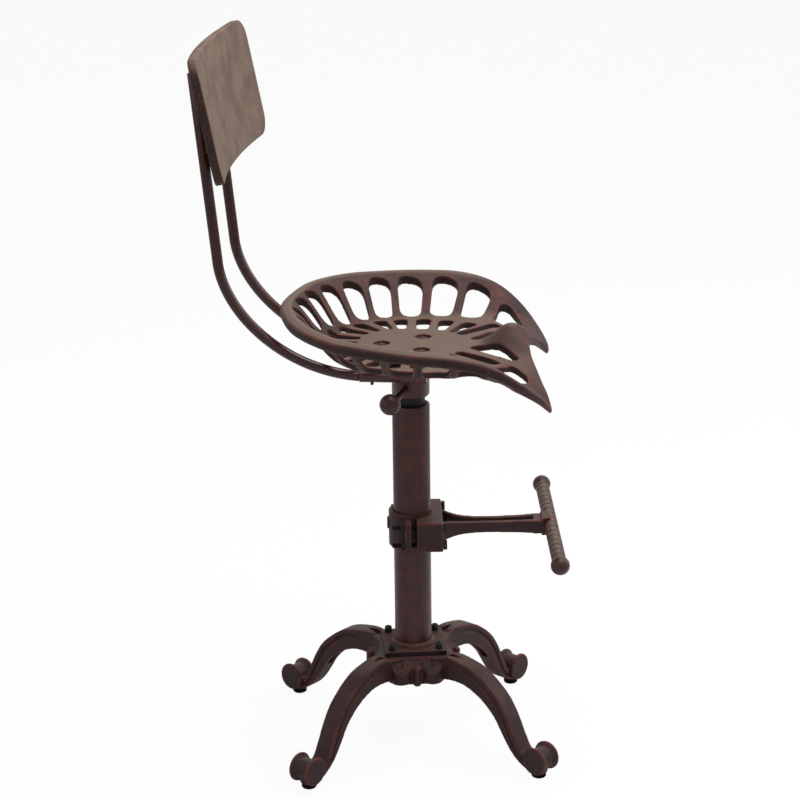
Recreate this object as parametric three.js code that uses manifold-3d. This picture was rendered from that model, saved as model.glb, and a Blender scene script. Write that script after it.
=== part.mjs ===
// Tractor seat stool with a backrest, a footrest and a four-legged cast base.
// Millimetres, +Z up, +X the way the sitter faces, +Y to the sitter's left.
// The finished group stands on Z = 0 with the middle of its footprint at X = 0, Y = 0.

import * as THREE from 'three';
import { mergeVertices } from 'three/addons/utils/BufferGeometryUtils.js';
import Module from 'manifold-3d';

const wasm = await Module();
wasm.setup();

// Clearances and cutting overrun
const fit = 0.3;
const runningFit = 0.1;
const overrun = 4;
const sameVertex = 1e-4;
const quarterTurn = 90;

// How far each assembly stands turned about the column, in degrees
const baseTurn = 4.6;
const footrestTurn = 1.2;
const seatTurn = -2.5;
const backTurn = -5.5;

// Heights of the main pieces above the floor
const hubTop = 147;
const columnTop = 535;
const footrestHeight = 341;
const collarBottom = 548;
const seatFloor = 628;

// Column, its foot plate and the weld between them
const columnOuter = 56;
const columnWall = 3.5;
const columnChamfer = 1.5;
const plateSide = 94;
const plateThickness = 7;
const plateCorner = 5;
const weldLeg = 5.5;
const weldBellyOutShare = 0.62;
const weldBellyUpShare = 0.4;

// Cap screws that hold the foot plate on the hub
const plateScrewSpacing = 72;
const plateScrewHead = 11;
const plateScrewHeadHeight = 9;
const plateScrewShank = 6.6;
const plateScrewLength = 24;
const plateScrewSocket = 5;
const plateScrewSocketDepth = 4;
const plateScrewChamfer = 1;

// Hub of the base casting
const hubLowerHalf = 57;
const hubUpperHalf = 50;
const hubBottom = 107;
const hubShoulder = 127;
const hubRoof = 14;
const hubWall = 8;
const hubCorner = 20;
const hubCavityCorner = 18;
const hubCornerRound = 4;
const hubFlareReach = 76;
const hubFlareDepth = 11;
const hubFlareRound = 30;
const apronLobeRadius = 15.5;
const apronLobeOffset = 23.7;
const apronLobeSet = 56;
const apronLobeRise = 3;
const apronSlopeHigh = 144;
const apronSlopeLow = 127.5;
const apronPillarRadius = 5;
const apronPillarTop = 134;
const apronButtonShare = 1.15;

// Legs and scrolled feet
const legWidth = 28.5;
const legStart = 46;
const legAngle = 45;
const legChannelWidth = 13;
const legRoof = 9;
const scrollRadius = 21.7;
const scrollWaist = 16.5;
const scrollWidth = 36;
const scrollRim = 6;
const scrollRimSlopeShare = 1.6;
const scrollChamfer = 1;
const padRadius = 11;
const padHeight = 8;
const padEdge = 1.5;
const padSeatRadius = 13;
const legSpread = 267;
const scrollReachShare = 0.918;
const padReachShare = 0.906;
const legSteps = 2;

const scrollReach = legSpread * scrollReachShare;
const padReach = legSpread * padReachShare;

// Outline of a leg, as shares of its spread (outwards) and of the hub's height (up)
const legTopShares = [[0.17, 0.96], [0.235, 0.975], [0.285, 1.02], [0.39, 1.005], [0.5, 0.95], [0.6, 0.83],
  [0.67, 0.71], [0.727, 0.55], [0.778, 0.36], [0.82, 0.235], [0.87, 0.2]];
const legUnderShares = [[0.17, 0.73], [0.32, 0.78], [0.4, 0.775], [0.47, 0.735], [0.545, 0.66], [0.625, 0.53],
  [0.69, 0.355], [0.735, 0.24], [0.785, 0.15], [0.845, 0.085], [0.9, 0.06]];
const legChannelShares = [0, 0.12, 0.25, 0.37, 0.5, 0.6, 0.7];

// Threaded spindle, its nut and its stop
const spindleOuter = 43;
const spindleLength = 262;
const threadPitch = 12;
const threadDepth = 1.6;
const nutLength = 34;
const nutDrop = 0.6;
const stopHeight = 10;
const thrustWasherThickness = 3;

// Collar under the seat and its locking knob
const collarOuter = 56;
const collarChamfer = 3;
const collarCap = 6;
const knobTurn = 254.5;
const knobRise = 14;
const knobReach = 97;
const knobBall = 31;
const knobStem = 11.5;
const knobStemInBall = 11;

// Bracket plate and the rod sockets welded under it
const bracketThickness = 7;
const bracketLength = 96;
const bracketCorner = 14;
const seatCastThickness = 13;
const rodSpacing = 148;
const rodDiameter = 15.4;
const socketOuter = 18;
const socketLength = 98;
const socketBack = 67;
const spigotDiameter = 11;
const spigotLength = 36;
const socketScrewDiameter = 5;
const socketScrewLength = 7;

// Backrest rods, as places in their own upright plane
const rodBendReach = 270;
const rodBendTop = 770;
const rodTopSet = 26;
const rodTop = 1040;
const rodBendBackShare = 0.985;
const rodBendBackRiseShare = 0.56;
const rodBendUnderShare = 0.67;
const rodBendUnderRiseShare = 0.04;

// Backrest plate
const backWidth = 404;
const backHeight = 177;
const backThickness = 13;
const backRadius = 1200;
const backCorner = 29;
const backLean = 11;
const backMiddle = 987;
const backPlateSet = 3.5;
const backSet = rodBendReach - backPlateSet;
const backColumns = 18;
const backCornerRows = 5;
const standoffDiameter = 9;
const standoffDrop = 55;
const standoffReach = 18;

// Seat casting: overall size, reach, depth of the bowl
const seatLength = 391;
const seatHalfWidth = 241;
const seatBowlRise = 62;
const seatEdgeBulge = 4;
const seatPanThickness = 10;
const seatEdgeThickness = 16.5;
const seatTipThickness = 9;
const seatFlatShare = 0.6;
const seatRimShare = 0.94;
const seatRimDrop = 0.5;
const seatDroopPower = 1.6;
const pommelRise = 17;
const pommelForward = 143;
const pommelHalfLength = 27;
const pommelHalfWidth = 40;

// Edge of the seat from the middle of the back to the middle of the front:
// shares of the seat's length forwards, its half width sideways and its bowl's rise
const seatEdgeShares = [[-0.477, 0, 1], [-0.451, 0.277, 1], [-0.4, 0.525, 1], [-0.323, 0.706, 0.967],
  [-0.247, 0.819, 0.934], [-0.144, 0.895, 0.902], [-0.042, 0.954, 0.869], [0.06, 0.987, 0.836],
  [0.162, 1, 0.79], [0.262, 0.985, 0.66], [0.341, 0.955, 0.44], [0.418, 0.885, 0.06],
  [0.482, 0.765, -0.38], [0.516, 0.675, -0.7], [0.52, 0.61, -0.79], [0.508, 0.535, -0.58],
  [0.489, 0.455, -0.4], [0.468, 0.336, -0.2], [0.448, 0.21, -0.02], [0.438, 0.11, 0.18]];
const seatFrontShares = [0.436, 0, 0.262];
const seatBossShare = 0.3;
const seatRingShares = [seatBossShare, 0.36, 0.5, 0.62, 0.72, 0.82, 0.91, 1];
const seatRimSteps = 52;

// Two rings of slots: outer end and inner end of each, as shares of length and half width
const outerSlotShares = [[0.26, 0.873, 0.216, 0.582], [0.126, 0.885, 0.099, 0.617],
  [-0.02, 0.849, -0.014, 0.6], [-0.146, 0.782, -0.112, 0.557], [-0.253, 0.671, -0.192, 0.489],
  [-0.342, 0.511, -0.252, 0.373], [-0.402, 0.321, -0.307, 0.236], [-0.434, 0.12, -0.337, 0.086]];
const innerSlotShares = [[0.229, 0.453, 0.151, 0.244], [0.132, 0.514, 0.11, 0.292],
  [0.04, 0.544, 0.039, 0.313], [-0.052, 0.535, -0.038, 0.321], [-0.137, 0.498, -0.081, 0.313],
  [-0.219, 0.416, -0.128, 0.266], [-0.276, 0.301, -0.167, 0.206], [-0.317, 0.152, -0.193, 0.103],
  [-0.327, 0, -0.202, 0]];
const slotRib = 12.5;

// Front slots beside the pommel, as shares of length and half width
const frontSlotShares = [[0.22, 0.101], [0.248, 0.059], [0.322, 0.118], [0.368, 0.176], [0.412, 0.269],
  [0.389, 0.303], [0.307, 0.252]];
const lobeSlotShares = [[0.355, 0.45], [0.307, 0.538], [0.335, 0.777], [0.373, 0.807], [0.409, 0.71],
  [0.442, 0.525], [0.442, 0.45], [0.384, 0.366]];
const longSlotShares = [0.179, 0.197, 0.33, 0.429];
const longSlotTip = 8;
const longSlotEnd = 10;
const frontSlotCorner = 8;
const slotCorner = 19;
const slotSteps = 3;

// Screws that hold the seat on the bracket
const seatScrewCircle = 80;
const seatScrewBack = 2;
const seatRecess = 24;
const seatRecessDepth = 5;
const seatScrewHead = 12;
const seatScrewHeadHeight = 3.4;
const seatScrewSideShare = 0.6;
const seatScrewAngles = [180, 60, -60];
const seatScrewShank = 7.8;
const seatNutWidth = 13;
const seatNutHeight = 6;

// Footrest clamp
const clampHeight = 45;
const clampBandHeight = 55;
const clampBandWall = 7;
const clampHalfSpan = 56;
const clampBlockFront = 45;
const clampBlockCorner = 2.5;
const clampBlockBack = 5.5;
const clampEarBack = 11.5;
const clampEarFront = 2.5;
const clampBoltSpan = 94;
const clampBoltDrop = 28;
const clampBoltDiameter = 8;
const clampBoltHead = 13;
const clampBoltHeadHeight = 5.5;
const clampBoltTail = 13;
const clampBoltRoom = 1;
const clampNutHeight = 6.5;
const clampBossRadius = 9;
const clampBossLength = 9.5;
const clampBossRise = 6;

// Footrest arm and crossbar
const armRailWidth = 8;
const barReach = 209;
const barLength = 352;
const barRadius = 10.6;
const barGroove = 1.4;
const barRibs = 17;
const ribRiseShare = 0.3;
const barBall = 28;
const barSpigotRadius = 5;
const barSpigotLength = 8;
const armBossWidth = 34;
const armBossLength = 14;
const armBossHalfHeight = 10.4;

// Rails of the arm, as shares of its reach (forwards), of its root's half width and half height
const armRootHalfWidth = 38;
const armRootHalfHeight = 15;
const armWidthShares = [[0.19, 0.9], [0.215, 0.84], [0.26, 0.66], [0.33, 0.5], [0.42, 0.41], [0.52, 0.38],
  [0.65, 0.38], [0.78, 0.4], [0.9, 0.44]];
const armHeightShares = [[0.19, 1], [0.215, 0.97], [0.26, 0.86], [0.33, 0.68], [0.42, 0.58], [0.52, 0.56],
  [0.65, 0.57], [0.78, 0.62], [0.9, 0.69]];
const armSteps = 12;

// Facets round each kind of surface
const roundSegments = 36;
const mediumSegments = 24;
const smallSegments = 16;
const tinySegments = 10;
const barSegments = 12;
const rodSides = 12;
const rodSteps = 14;
const ballSegments = 20;
const ballRings = 12;
const buttonRings = 8;
const cornerSteps = 2;

const deg = THREE.MathUtils.degToRad;

// Colours: dark antique bronze castings, black steel and black rubber
function bronze() {
  return new THREE.MeshStandardMaterial({ color: 0x4a332c, roughness: 0.55, metalness: 0.6 });
}

function blackSteel() {
  return new THREE.MeshStandardMaterial({ color: 0x18171a, roughness: 0.45, metalness: 0.7 });
}

function rubber() {
  return new THREE.MeshStandardMaterial({ color: 0x131313, roughness: 0.9, metalness: 0 });
}

// Solid modelling helpers

function solidOf(geometry) {
  const bare = geometry.clone();
  bare.deleteAttribute('normal');
  bare.deleteAttribute('uv');
  const merged = mergeVertices(bare, sameVertex);
  const vertProperties = new Float32Array(merged.attributes.position.array);
  const triVerts = new Uint32Array(merged.index.array);
  return new wasm.Manifold(new wasm.Mesh({ numProp: 3, vertProperties, triVerts }));
}

function geometryOf(solid) {
  const mesh = solid.getMesh();
  const geometry = new THREE.BufferGeometry();
  geometry.setAttribute('position', new THREE.BufferAttribute(new Float32Array(mesh.vertProperties), 3));
  geometry.setIndex(new THREE.BufferAttribute(new Uint32Array(mesh.triVerts), 1));
  geometry.computeVertexNormals();
  return geometry;
}

function joined(solids) {
  return solids.reduce((sum, next) => sum.add(next));
}

function without(solid, cutters) {
  return cutters.reduce((rest, cutter) => rest.subtract(cutter), solid);
}

function meshOf(name, shape, material) {
  const geometry = shape.isBufferGeometry ? shape : geometryOf(shape);
  const mesh = new THREE.Mesh(geometry, material);
  mesh.name = name;
  return mesh;
}

// A round bar from one height to another on the Z axis
function post(radius, low, high, segments = roundSegments) {
  const geometry = new THREE.CylinderGeometry(radius, radius, high - low, segments);
  geometry.rotateX(Math.PI / 2);
  geometry.translate(0, 0, (low + high) / 2);
  return geometry;
}

function bar(radius, from, to, segments = tinySegments) {
  const along = new THREE.Vector3().subVectors(to, from);
  const geometry = new THREE.CylinderGeometry(radius, radius, along.length(), segments);
  const upright = new THREE.Vector3(0, 1, 0);
  const turn = new THREE.Quaternion().setFromUnitVectors(upright, along.clone().normalize());
  geometry.applyQuaternion(turn);
  geometry.translate(...new THREE.Vector3().addVectors(from, to).multiplyScalar(0.5).toArray());
  return geometry;
}

function block(from, to) {
  const size = new THREE.Vector3().subVectors(to, from);
  const geometry = new THREE.BoxGeometry(size.x, size.y, size.z);
  geometry.translate(...new THREE.Vector3().addVectors(from, to).multiplyScalar(0.5).toArray());
  return geometry;
}

// A turned piece: profile points are [radius, height], and the axis is Z
function turned(profile, segments = roundSegments) {
  const geometry = new THREE.LatheGeometry(profile.map(([r, z]) => new THREE.Vector2(r, z)), segments);
  geometry.rotateX(Math.PI / 2);
  return geometry;
}

function ring(outer, inner, low, high, chamfer = 0) {
  const profile = [[inner, low], [outer, low], [outer, high - chamfer], [outer - chamfer, high], [inner, high],
    [inner, low]];
  const clean = chamfer === 0 ? profile.filter((_, i) => i !== 3) : profile;
  return turned(clean);
}

// An upright prism over a plan outline
function prism(shape, low, high, curveSegments = tinySegments) {
  const depth = high - low;
  const geometry = new THREE.ExtrudeGeometry(shape, { depth, bevelEnabled: false, curveSegments });
  geometry.translate(0, 0, low);
  return geometry;
}

// A plate whose outline lies in an upright plane along X, centred on Y
function slab(shape, width, curveSegments = tinySegments) {
  const geometry = new THREE.ExtrudeGeometry(shape, { depth: width, bevelEnabled: false, curveSegments });
  geometry.rotateX(Math.PI / 2);
  geometry.translate(0, width / 2, 0);
  return geometry;
}

function hexPrism(acrossFlats, low, high) {
  return post(acrossFlats / Math.sqrt(3), low, high, 6);
}

function along(axisVector, geometry) {
  const turn = new THREE.Quaternion().setFromUnitVectors(new THREE.Vector3(0, 0, 1), axisVector);
  geometry.applyQuaternion(turn);
  return geometry;
}

function roundedOutline(points, radius) {
  const shape = new THREE.Shape();
  points.forEach((corner, i) => {
    const before = points[(i + points.length - 1) % points.length];
    const after = points[(i + 1) % points.length];
    const back = new THREE.Vector2().subVectors(before, corner);
    const ahead = new THREE.Vector2().subVectors(after, corner);
    const reach = Math.min(radius, back.length() / 2, ahead.length() / 2);
    const start = back.setLength(reach).add(corner);
    const end = ahead.setLength(reach).add(corner);
    if (i === 0) shape.moveTo(start.x, start.y);
    else shape.lineTo(start.x, start.y);
    shape.quadraticCurveTo(corner.x, corner.y, end.x, end.y);
  });
  shape.closePath();
  return shape;
}

// Base: hub and four legs in one casting

function sidesOfFour(make) {
  return [0, 1, 2, 3].map((i) => make().rotate([0, 0, quarterTurn * i]));
}

function legOutline() {
  const at = ([out, up]) => new THREE.Vector2(out * legSpread, up * hubTop);
  const shape = new THREE.Shape();
  const top = legTopShares.map(at);
  const under = legUnderShares.map(at).reverse();
  shape.moveTo(top[0].x, top[0].y);
  shape.splineThru(top.slice(1));
  shape.lineTo(under[0].x, under[0].y);
  shape.splineThru(under.slice(1));
  shape.closePath();
  return shape;
}

function legChannel() {
  const at = ([out, up]) => new THREE.Vector2(out * legSpread, up * hubTop);
  const top = new THREE.SplineCurve(legTopShares.map(at));
  const roof = legChannelShares.map((t) => {
    const point = top.getPoint(t);
    const ahead = top.getTangent(t);
    return new THREE.Vector2(point.x + ahead.y * legRoof, point.y - ahead.x * legRoof);
  });
  const shape = new THREE.Shape();
  shape.moveTo(legStart, roof[0].y);
  roof.forEach((point) => shape.lineTo(point.x, point.y));
  shape.lineTo(roof[roof.length - 1].x - legWidth, roof[roof.length - 1].y - legWidth / 2);
  shape.lineTo(legStart, hubBottom - overrun);
  shape.closePath();
  return solidOf(slab(shape, legChannelWidth));
}

function scroll() {
  const half = scrollWidth / 2;
  const slope = scrollRim * scrollRimSlopeShare;
  const profile = [[0, -half], [scrollRadius - scrollChamfer, -half], [scrollRadius, scrollChamfer - half],
    [scrollRadius, scrollRim - half], [scrollWaist, slope - half], [scrollWaist, half - slope],
    [scrollRadius, half - scrollRim], [scrollRadius, half - scrollChamfer],
    [scrollRadius - scrollChamfer, half], [0, half]];
  const geometry = turned(profile, mediumSegments);
  geometry.rotateX(Math.PI / 2);
  geometry.translate(scrollReach, 0, padHeight + scrollRadius);
  return solidOf(geometry);
}

function leg() {
  const body = solidOf(slab(legOutline(), legWidth, legSteps));
  const padSeat = post(padSeatRadius, padHeight, padHeight + scrollRadius, smallSegments);
  padSeat.translate(padReach, 0, 0);
  return joined([body, scroll(), solidOf(padSeat)]).subtract(legChannel());
}

function hubSquare(half, corner) {
  const cut = half - corner;
  const points = [[half, -cut], [half, cut], [cut, half], [-cut, half], [-half, cut], [-half, -cut],
    [-cut, -half], [cut, -half]];
  return roundedOutline(points.map(([x, y]) => new THREE.Vector2(x, y)), hubCornerRound);
}

function hubBody() {
  const lower = solidOf(prism(hubSquare(hubLowerHalf, hubCorner), hubBottom, hubShoulder, cornerSteps));
  const upperShape = new THREE.CylinderGeometry(hubUpperHalf, hubLowerHalf, hubTop - hubShoulder, 4, 1);
  upperShape.rotateY(Math.PI / 4);
  upperShape.scale(Math.SQRT2, 1, Math.SQRT2);
  upperShape.rotateX(Math.PI / 2);
  upperShape.translate(0, 0, (hubTop + hubShoulder) / 2);
  return lower.add(solidOf(upperShape));
}

// Top of the hub, where its sides run out into the legs by concave curves
function hubFlare() {
  const stub = (legWidth / 2) * Math.SQRT2;
  const points = [];
  for (let i = 0; i < 4; i += 1) {
    const quarter = [[hubUpperHalf, stub - hubUpperHalf], [hubUpperHalf, hubUpperHalf - stub],
      [hubFlareReach + stub / 2, hubFlareReach - stub / 2],
      [hubFlareReach - stub / 2, hubFlareReach + stub / 2]];
    quarter.forEach(([x, y]) => points.push(new THREE.Vector2(x, y).rotateAround(new THREE.Vector2(),
      deg(quarterTurn * i))));
  }
  const shape = roundedOutline(points, hubFlareRound);
  return solidOf(prism(shape, hubTop - hubFlareDepth, hubTop, cornerSteps));
}

function apron() {
  const outer = apronLobeSet + apronLobeRadius;
  const lobes = [-1, 1].map((side) => {
    const lobe = post(apronLobeRadius, hubBottom + apronLobeRise, apronSlopeHigh, mediumSegments);
    lobe.translate(apronLobeSet, side * apronLobeOffset, 0);
    return solidOf(lobe);
  });
  const web = block(new THREE.Vector3(hubUpperHalf, -apronLobeOffset, hubBottom),
    new THREE.Vector3(outer - apronPillarRadius, apronLobeOffset, apronSlopeHigh));
  const above = new THREE.Shape();
  above.moveTo(hubUpperHalf, apronSlopeHigh);
  above.lineTo(outer, apronSlopeLow);
  above.lineTo(outer + overrun, apronSlopeLow);
  above.lineTo(outer + overrun, hubTop);
  above.lineTo(hubUpperHalf, hubTop);
  above.closePath();
  const room = solidOf(slab(above, 2 * hubLowerHalf));
  const pillar = post(apronPillarRadius, hubBottom, apronPillarTop, tinySegments);
  pillar.translate(outer - apronPillarRadius, 0, 0);
  const button = new THREE.SphereGeometry(apronPillarRadius * apronButtonShare, tinySegments, buttonRings);
  button.translate(outer - apronPillarRadius, 0, apronPillarTop);
  return joined([joined([...lobes, solidOf(web)]).subtract(room), solidOf(pillar), solidOf(button)]);
}

function plateScrewPlaces() {
  const half = plateScrewSpacing / 2;
  return [[half, half], [-half, half], [-half, -half], [half, -half]];
}

function screwHoles(radius, low, high) {
  return plateScrewPlaces().map(([x, y]) => {
    const hole = post(radius, low, high, tinySegments);
    hole.translate(x, y, 0);
    return solidOf(hole);
  });
}

function baseCasting() {
  const legs = sidesOfFour(() => leg().rotate([0, 0, legAngle]));
  const aprons = sidesOfFour(apron);
  const inner = hubLowerHalf - hubWall;
  const cavity = solidOf(prism(hubSquare(inner, hubCavityCorner), hubBottom - overrun, hubTop - hubRoof,
    cornerSteps));
  const holes = screwHoles(plateScrewShank / 2 + fit, hubTop - hubRoof - overrun, hubTop + overrun);
  return without(joined([hubBody(), hubFlare(), ...aprons, ...legs]), [cavity, ...holes]);
}

function footPad(index) {
  const pad = turned([[0, 0], [padRadius - padEdge, 0], [padRadius, padEdge], [padRadius, padHeight - fit],
    [0, padHeight - fit]], smallSegments);
  const angle = deg(legAngle + quarterTurn * index);
  pad.translate(padReach * Math.cos(angle), padReach * Math.sin(angle), 0);
  return meshOf(`foot_pad_${index + 1}`, pad, rubber());
}

function footPlate() {
  const low = hubTop + fit;
  const half = plateSide / 2;
  const outline = [[half, half], [-half, half], [-half, -half], [half, -half]];
  const shape = roundedOutline(outline.map(([x, y]) => new THREE.Vector2(x, y)), plateCorner);
  const holes = screwHoles(plateScrewShank / 2 + fit, low - overrun, low + plateThickness + overrun);
  return without(solidOf(prism(shape, low, low + plateThickness)), holes);
}

function plateScrew([x, y], index) {
  const seat = hubTop + fit + plateThickness + fit;
  const top = seat + plateScrewHeadHeight;
  const radius = plateScrewHead / 2;
  const head = solidOf(turned([[0, seat], [radius, seat], [radius, top - plateScrewChamfer],
    [radius - plateScrewChamfer, top], [0, top]], smallSegments));
  const shank = solidOf(post(plateScrewShank / 2, seat - plateScrewLength, seat + fit, tinySegments));
  const socket = solidOf(hexPrism(plateScrewSocket, top - plateScrewSocketDepth, top + overrun));
  const screw = head.add(shank).subtract(socket).translate([x, y, 0]);
  return meshOf(`plate_screw_${index + 1}`, screw, blackSteel());
}

// Column

const columnFoot = hubTop + fit + plateThickness + fit;
const columnInner = columnOuter / 2 - columnWall;

function columnTube() {
  return ring(columnOuter / 2, columnInner, columnFoot, columnTop, columnChamfer);
}

function columnWeld() {
  const inner = columnOuter / 2 + fit;
  const belly = [inner + weldLeg * weldBellyOutShare, columnFoot + weldLeg * weldBellyUpShare];
  return turned([[inner, columnFoot], [inner + weldLeg, columnFoot], belly, [inner, columnFoot + weldLeg],
    [inner, columnFoot]]);
}

const spindleRadius = spindleOuter / 2;
const nutTop = columnTop - nutDrop;

function columnNut() {
  return ring(columnInner - fit, spindleRadius + runningFit, nutTop - nutLength, nutTop);
}

// Spindle

const bracketTop = seatFloor - seatCastThickness - fit;
const bracketBottom = bracketTop - bracketThickness;
const collarTop = bracketBottom - fit;
const spindleTop = collarTop - collarCap - thrustWasherThickness - 2 * fit;
const spindleBottom = spindleTop - spindleLength;

function spindle() {
  const plainBottom = nutTop + threadPitch;
  const profile = [[0, spindleBottom], [spindleRadius - threadDepth, spindleBottom]];
  const turns = Math.floor((plainBottom - spindleBottom) / threadPitch) - 1;
  for (let i = 1; i < turns; i += 1) {
    const crest = spindleBottom + i * threadPitch;
    profile.push([spindleRadius, crest], [spindleRadius - threadDepth, crest + threadPitch / 2]);
  }
  profile.push([spindleRadius, plainBottom], [spindleRadius, spindleTop], [0, spindleTop]);
  return turned(profile, mediumSegments);
}

function spindleStop() {
  return turned([[0, spindleBottom - fit - stopHeight], [columnInner - fit, spindleBottom - fit - stopHeight],
    [columnInner - fit, spindleBottom - fit], [0, spindleBottom - fit]], mediumSegments);
}

// Collar and locking knob

const collarBore = spindleRadius + runningFit;
const knobHeight = collarBottom + knobRise;
const knobWay = new THREE.Vector3(Math.cos(deg(knobTurn)), Math.sin(deg(knobTurn)), 0);

function onKnobAxis(reach) {
  return knobWay.clone().multiplyScalar(reach).add(new THREE.Vector3(0, 0, knobHeight));
}

function thrustWasher() {
  const low = spindleTop + fit;
  return post(spindleRadius - runningFit, low, low + thrustWasherThickness, mediumSegments);
}

function seatCollar() {
  const outer = collarOuter / 2;
  const shell = solidOf(turned([[0, collarTop - collarCap], [collarBore, collarTop - collarCap],
    [collarBore, collarBottom], [outer - collarChamfer, collarBottom], [outer, collarBottom + collarChamfer],
    [outer, collarTop], [0, collarTop]]));
  const hole = solidOf(bar(knobStem / 2 + fit, onKnobAxis(0), onKnobAxis(collarOuter), smallSegments));
  return shell.subtract(hole);
}

function knobScrew() {
  const end = knobReach - knobBall / 2 + knobStemInBall;
  return bar(knobStem / 2, onKnobAxis(spindleRadius + fit), onKnobAxis(end), smallSegments);
}

function knobHead() {
  const ball = new THREE.SphereGeometry(knobBall / 2, ballSegments, ballRings);
  ball.translate(...onKnobAxis(knobReach).toArray());
  const socket = bar(knobStem / 2 + fit, onKnobAxis(collarOuter / 2),
    onKnobAxis(knobReach - knobBall / 2 + knobStemInBall + fit), smallSegments);
  return solidOf(ball).subtract(solidOf(socket));
}

// Bracket under the seat

const rodHeight = bracketBottom - fit - socketOuter / 2;
const rodSide = rodSpacing / 2;

function seatScrewPlaces() {
  return seatScrewAngles.map((angle) => [
    (seatScrewCircle / 2) * Math.cos(deg(angle)) - seatScrewBack,
    (seatScrewCircle / 2) * Math.sin(deg(angle)),
  ]);
}

function seatScrewHoles(radius, low, high) {
  return seatScrewPlaces().map(([x, y]) => {
    const hole = post(radius, low, high, smallSegments);
    hole.translate(x, y, 0);
    return solidOf(hole);
  });
}

function bracketPlate() {
  const halfX = bracketLength / 2;
  const halfY = rodSide + socketOuter / 2;
  const outline = [[halfX, -halfY], [halfX, halfY], [-halfX, halfY], [-halfX, -halfY]];
  const shape = roundedOutline(outline.map(([x, y]) => new THREE.Vector2(x, y)), bracketCorner);
  const holes = seatScrewHoles(seatScrewShank / 2 + fit, bracketBottom - overrun, bracketTop + overrun)
    .map((hole) => hole.rotate([0, 0, seatTurn - backTurn]));
  return without(solidOf(prism(shape, bracketBottom, bracketTop)), holes);
}

function rodSocket(side) {
  const y = side * rodSide;
  const back = new THREE.Vector3(-socketBack, y, rodHeight);
  const front = new THREE.Vector3(socketLength - socketBack, y, rodHeight);
  const mouth = new THREE.Vector3(-socketBack - overrun, y, rodHeight);
  const end = new THREE.Vector3(spigotLength + overrun - socketBack, y, rodHeight);
  const tube = solidOf(bar(socketOuter / 2, back, front, smallSegments));
  const bore = solidOf(bar(spigotDiameter / 2 + fit, mouth, end, smallSegments));
  const screw = post(socketScrewDiameter / 2 + fit, rodHeight - socketOuter, rodHeight, tinySegments);
  screw.translate(spigotLength / 2 - socketBack, y, 0);
  return tube.subtract(bore).subtract(solidOf(screw));
}

function socketScrew(side) {
  const top = rodHeight - spigotDiameter / 2 - fit;
  const screw = post(socketScrewDiameter / 2, top - socketScrewLength, top, tinySegments);
  screw.translate(spigotLength / 2 - socketBack, side * rodSide, 0);
  return screw;
}

// Backrest rods and plate

function rodPath(side) {
  const y = side * rodSide;
  const path = new THREE.CurvePath();
  const start = new THREE.Vector3(-socketBack - fit, y, rodHeight);
  const rise = rodBendTop - rodHeight;
  const bendEnd = new THREE.Vector3(-rodBendReach, y, rodBendTop);
  const underHeight = rodHeight + rise * rodBendUnderRiseShare;
  const behindHeight = rodHeight + rise * rodBendBackRiseShare;
  const under = new THREE.Vector3(-rodBendReach * rodBendUnderShare, y, underHeight);
  const back = new THREE.Vector3(-rodBendReach * rodBendBackShare, y, behindHeight);
  path.add(new THREE.CubicBezierCurve3(start, under, back, bendEnd));
  path.add(new THREE.LineCurve3(bendEnd, new THREE.Vector3(-rodBendReach - rodTopSet, y, rodTop)));
  return path;
}

function sweptRod(side) {
  const path = rodPath(side);
  const points = [];
  const bend = path.curves[0];
  for (let i = 0; i <= rodSteps; i += 1) points.push(bend.getPoint(i / rodSteps));
  points.push(path.curves[1].getPoint(1));
  const radius = rodDiameter / 2;
  const vertices = [];
  const faces = [];
  points.forEach((point, i) => {
    const before = points[Math.max(i - 1, 0)];
    const after = points[Math.min(i + 1, points.length - 1)];
    const way = new THREE.Vector3().subVectors(after, before).normalize();
    if (i === 0) way.set(-1, 0, 0);
    const across = new THREE.Vector3(0, 1, 0);
    const up = new THREE.Vector3().crossVectors(way, across).normalize();
    for (let k = 0; k < rodSides; k += 1) {
      const angle = (2 * Math.PI * k) / rodSides;
      vertices.push(...point.clone().addScaledVector(across, radius * Math.cos(angle))
        .addScaledVector(up, radius * Math.sin(angle)).toArray());
    }
  });
  const last = points.length - 1;
  for (let i = 0; i < last; i += 1) {
    for (let k = 0; k < rodSides; k += 1) {
      const a = i * rodSides + k;
      const b = i * rodSides + ((k + 1) % rodSides);
      faces.push(a, b, a + rodSides, b, b + rodSides, a + rodSides);
    }
  }
  for (let k = 1; k < rodSides - 1; k += 1) {
    faces.push(0, k + 1, k, last * rodSides, last * rodSides + k, last * rodSides + k + 1);
  }
  const geometry = new THREE.BufferGeometry();
  geometry.setAttribute('position', new THREE.Float32BufferAttribute(vertices, 3));
  geometry.setIndex(faces);
  return geometry;
}

function backRod(side) {
  const y = side * rodSide;
  const spigot = bar(spigotDiameter / 2, new THREE.Vector3(-socketBack - rodDiameter / 4, y, rodHeight),
    new THREE.Vector3(spigotLength - socketBack, y, rodHeight), smallSegments);
  return solidOf(sweptRod(side)).add(solidOf(spigot));
}

// Place on the backrest plate: s runs sideways along the arc, h up the plate, d out of its back
function onBackPlate(s, h, d) {
  const angle = s / backRadius;
  const lean = deg(backLean);
  const reach = backRadius + d;
  const plan = new THREE.Vector3(backRadius - reach * Math.cos(angle), reach * Math.sin(angle), 0);
  const x = plan.x * Math.cos(lean) - h * Math.sin(lean);
  const z = plan.x * Math.sin(lean) + h * Math.cos(lean);
  return new THREE.Vector3(-backSet + x, plan.y, backMiddle + z);
}

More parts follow.
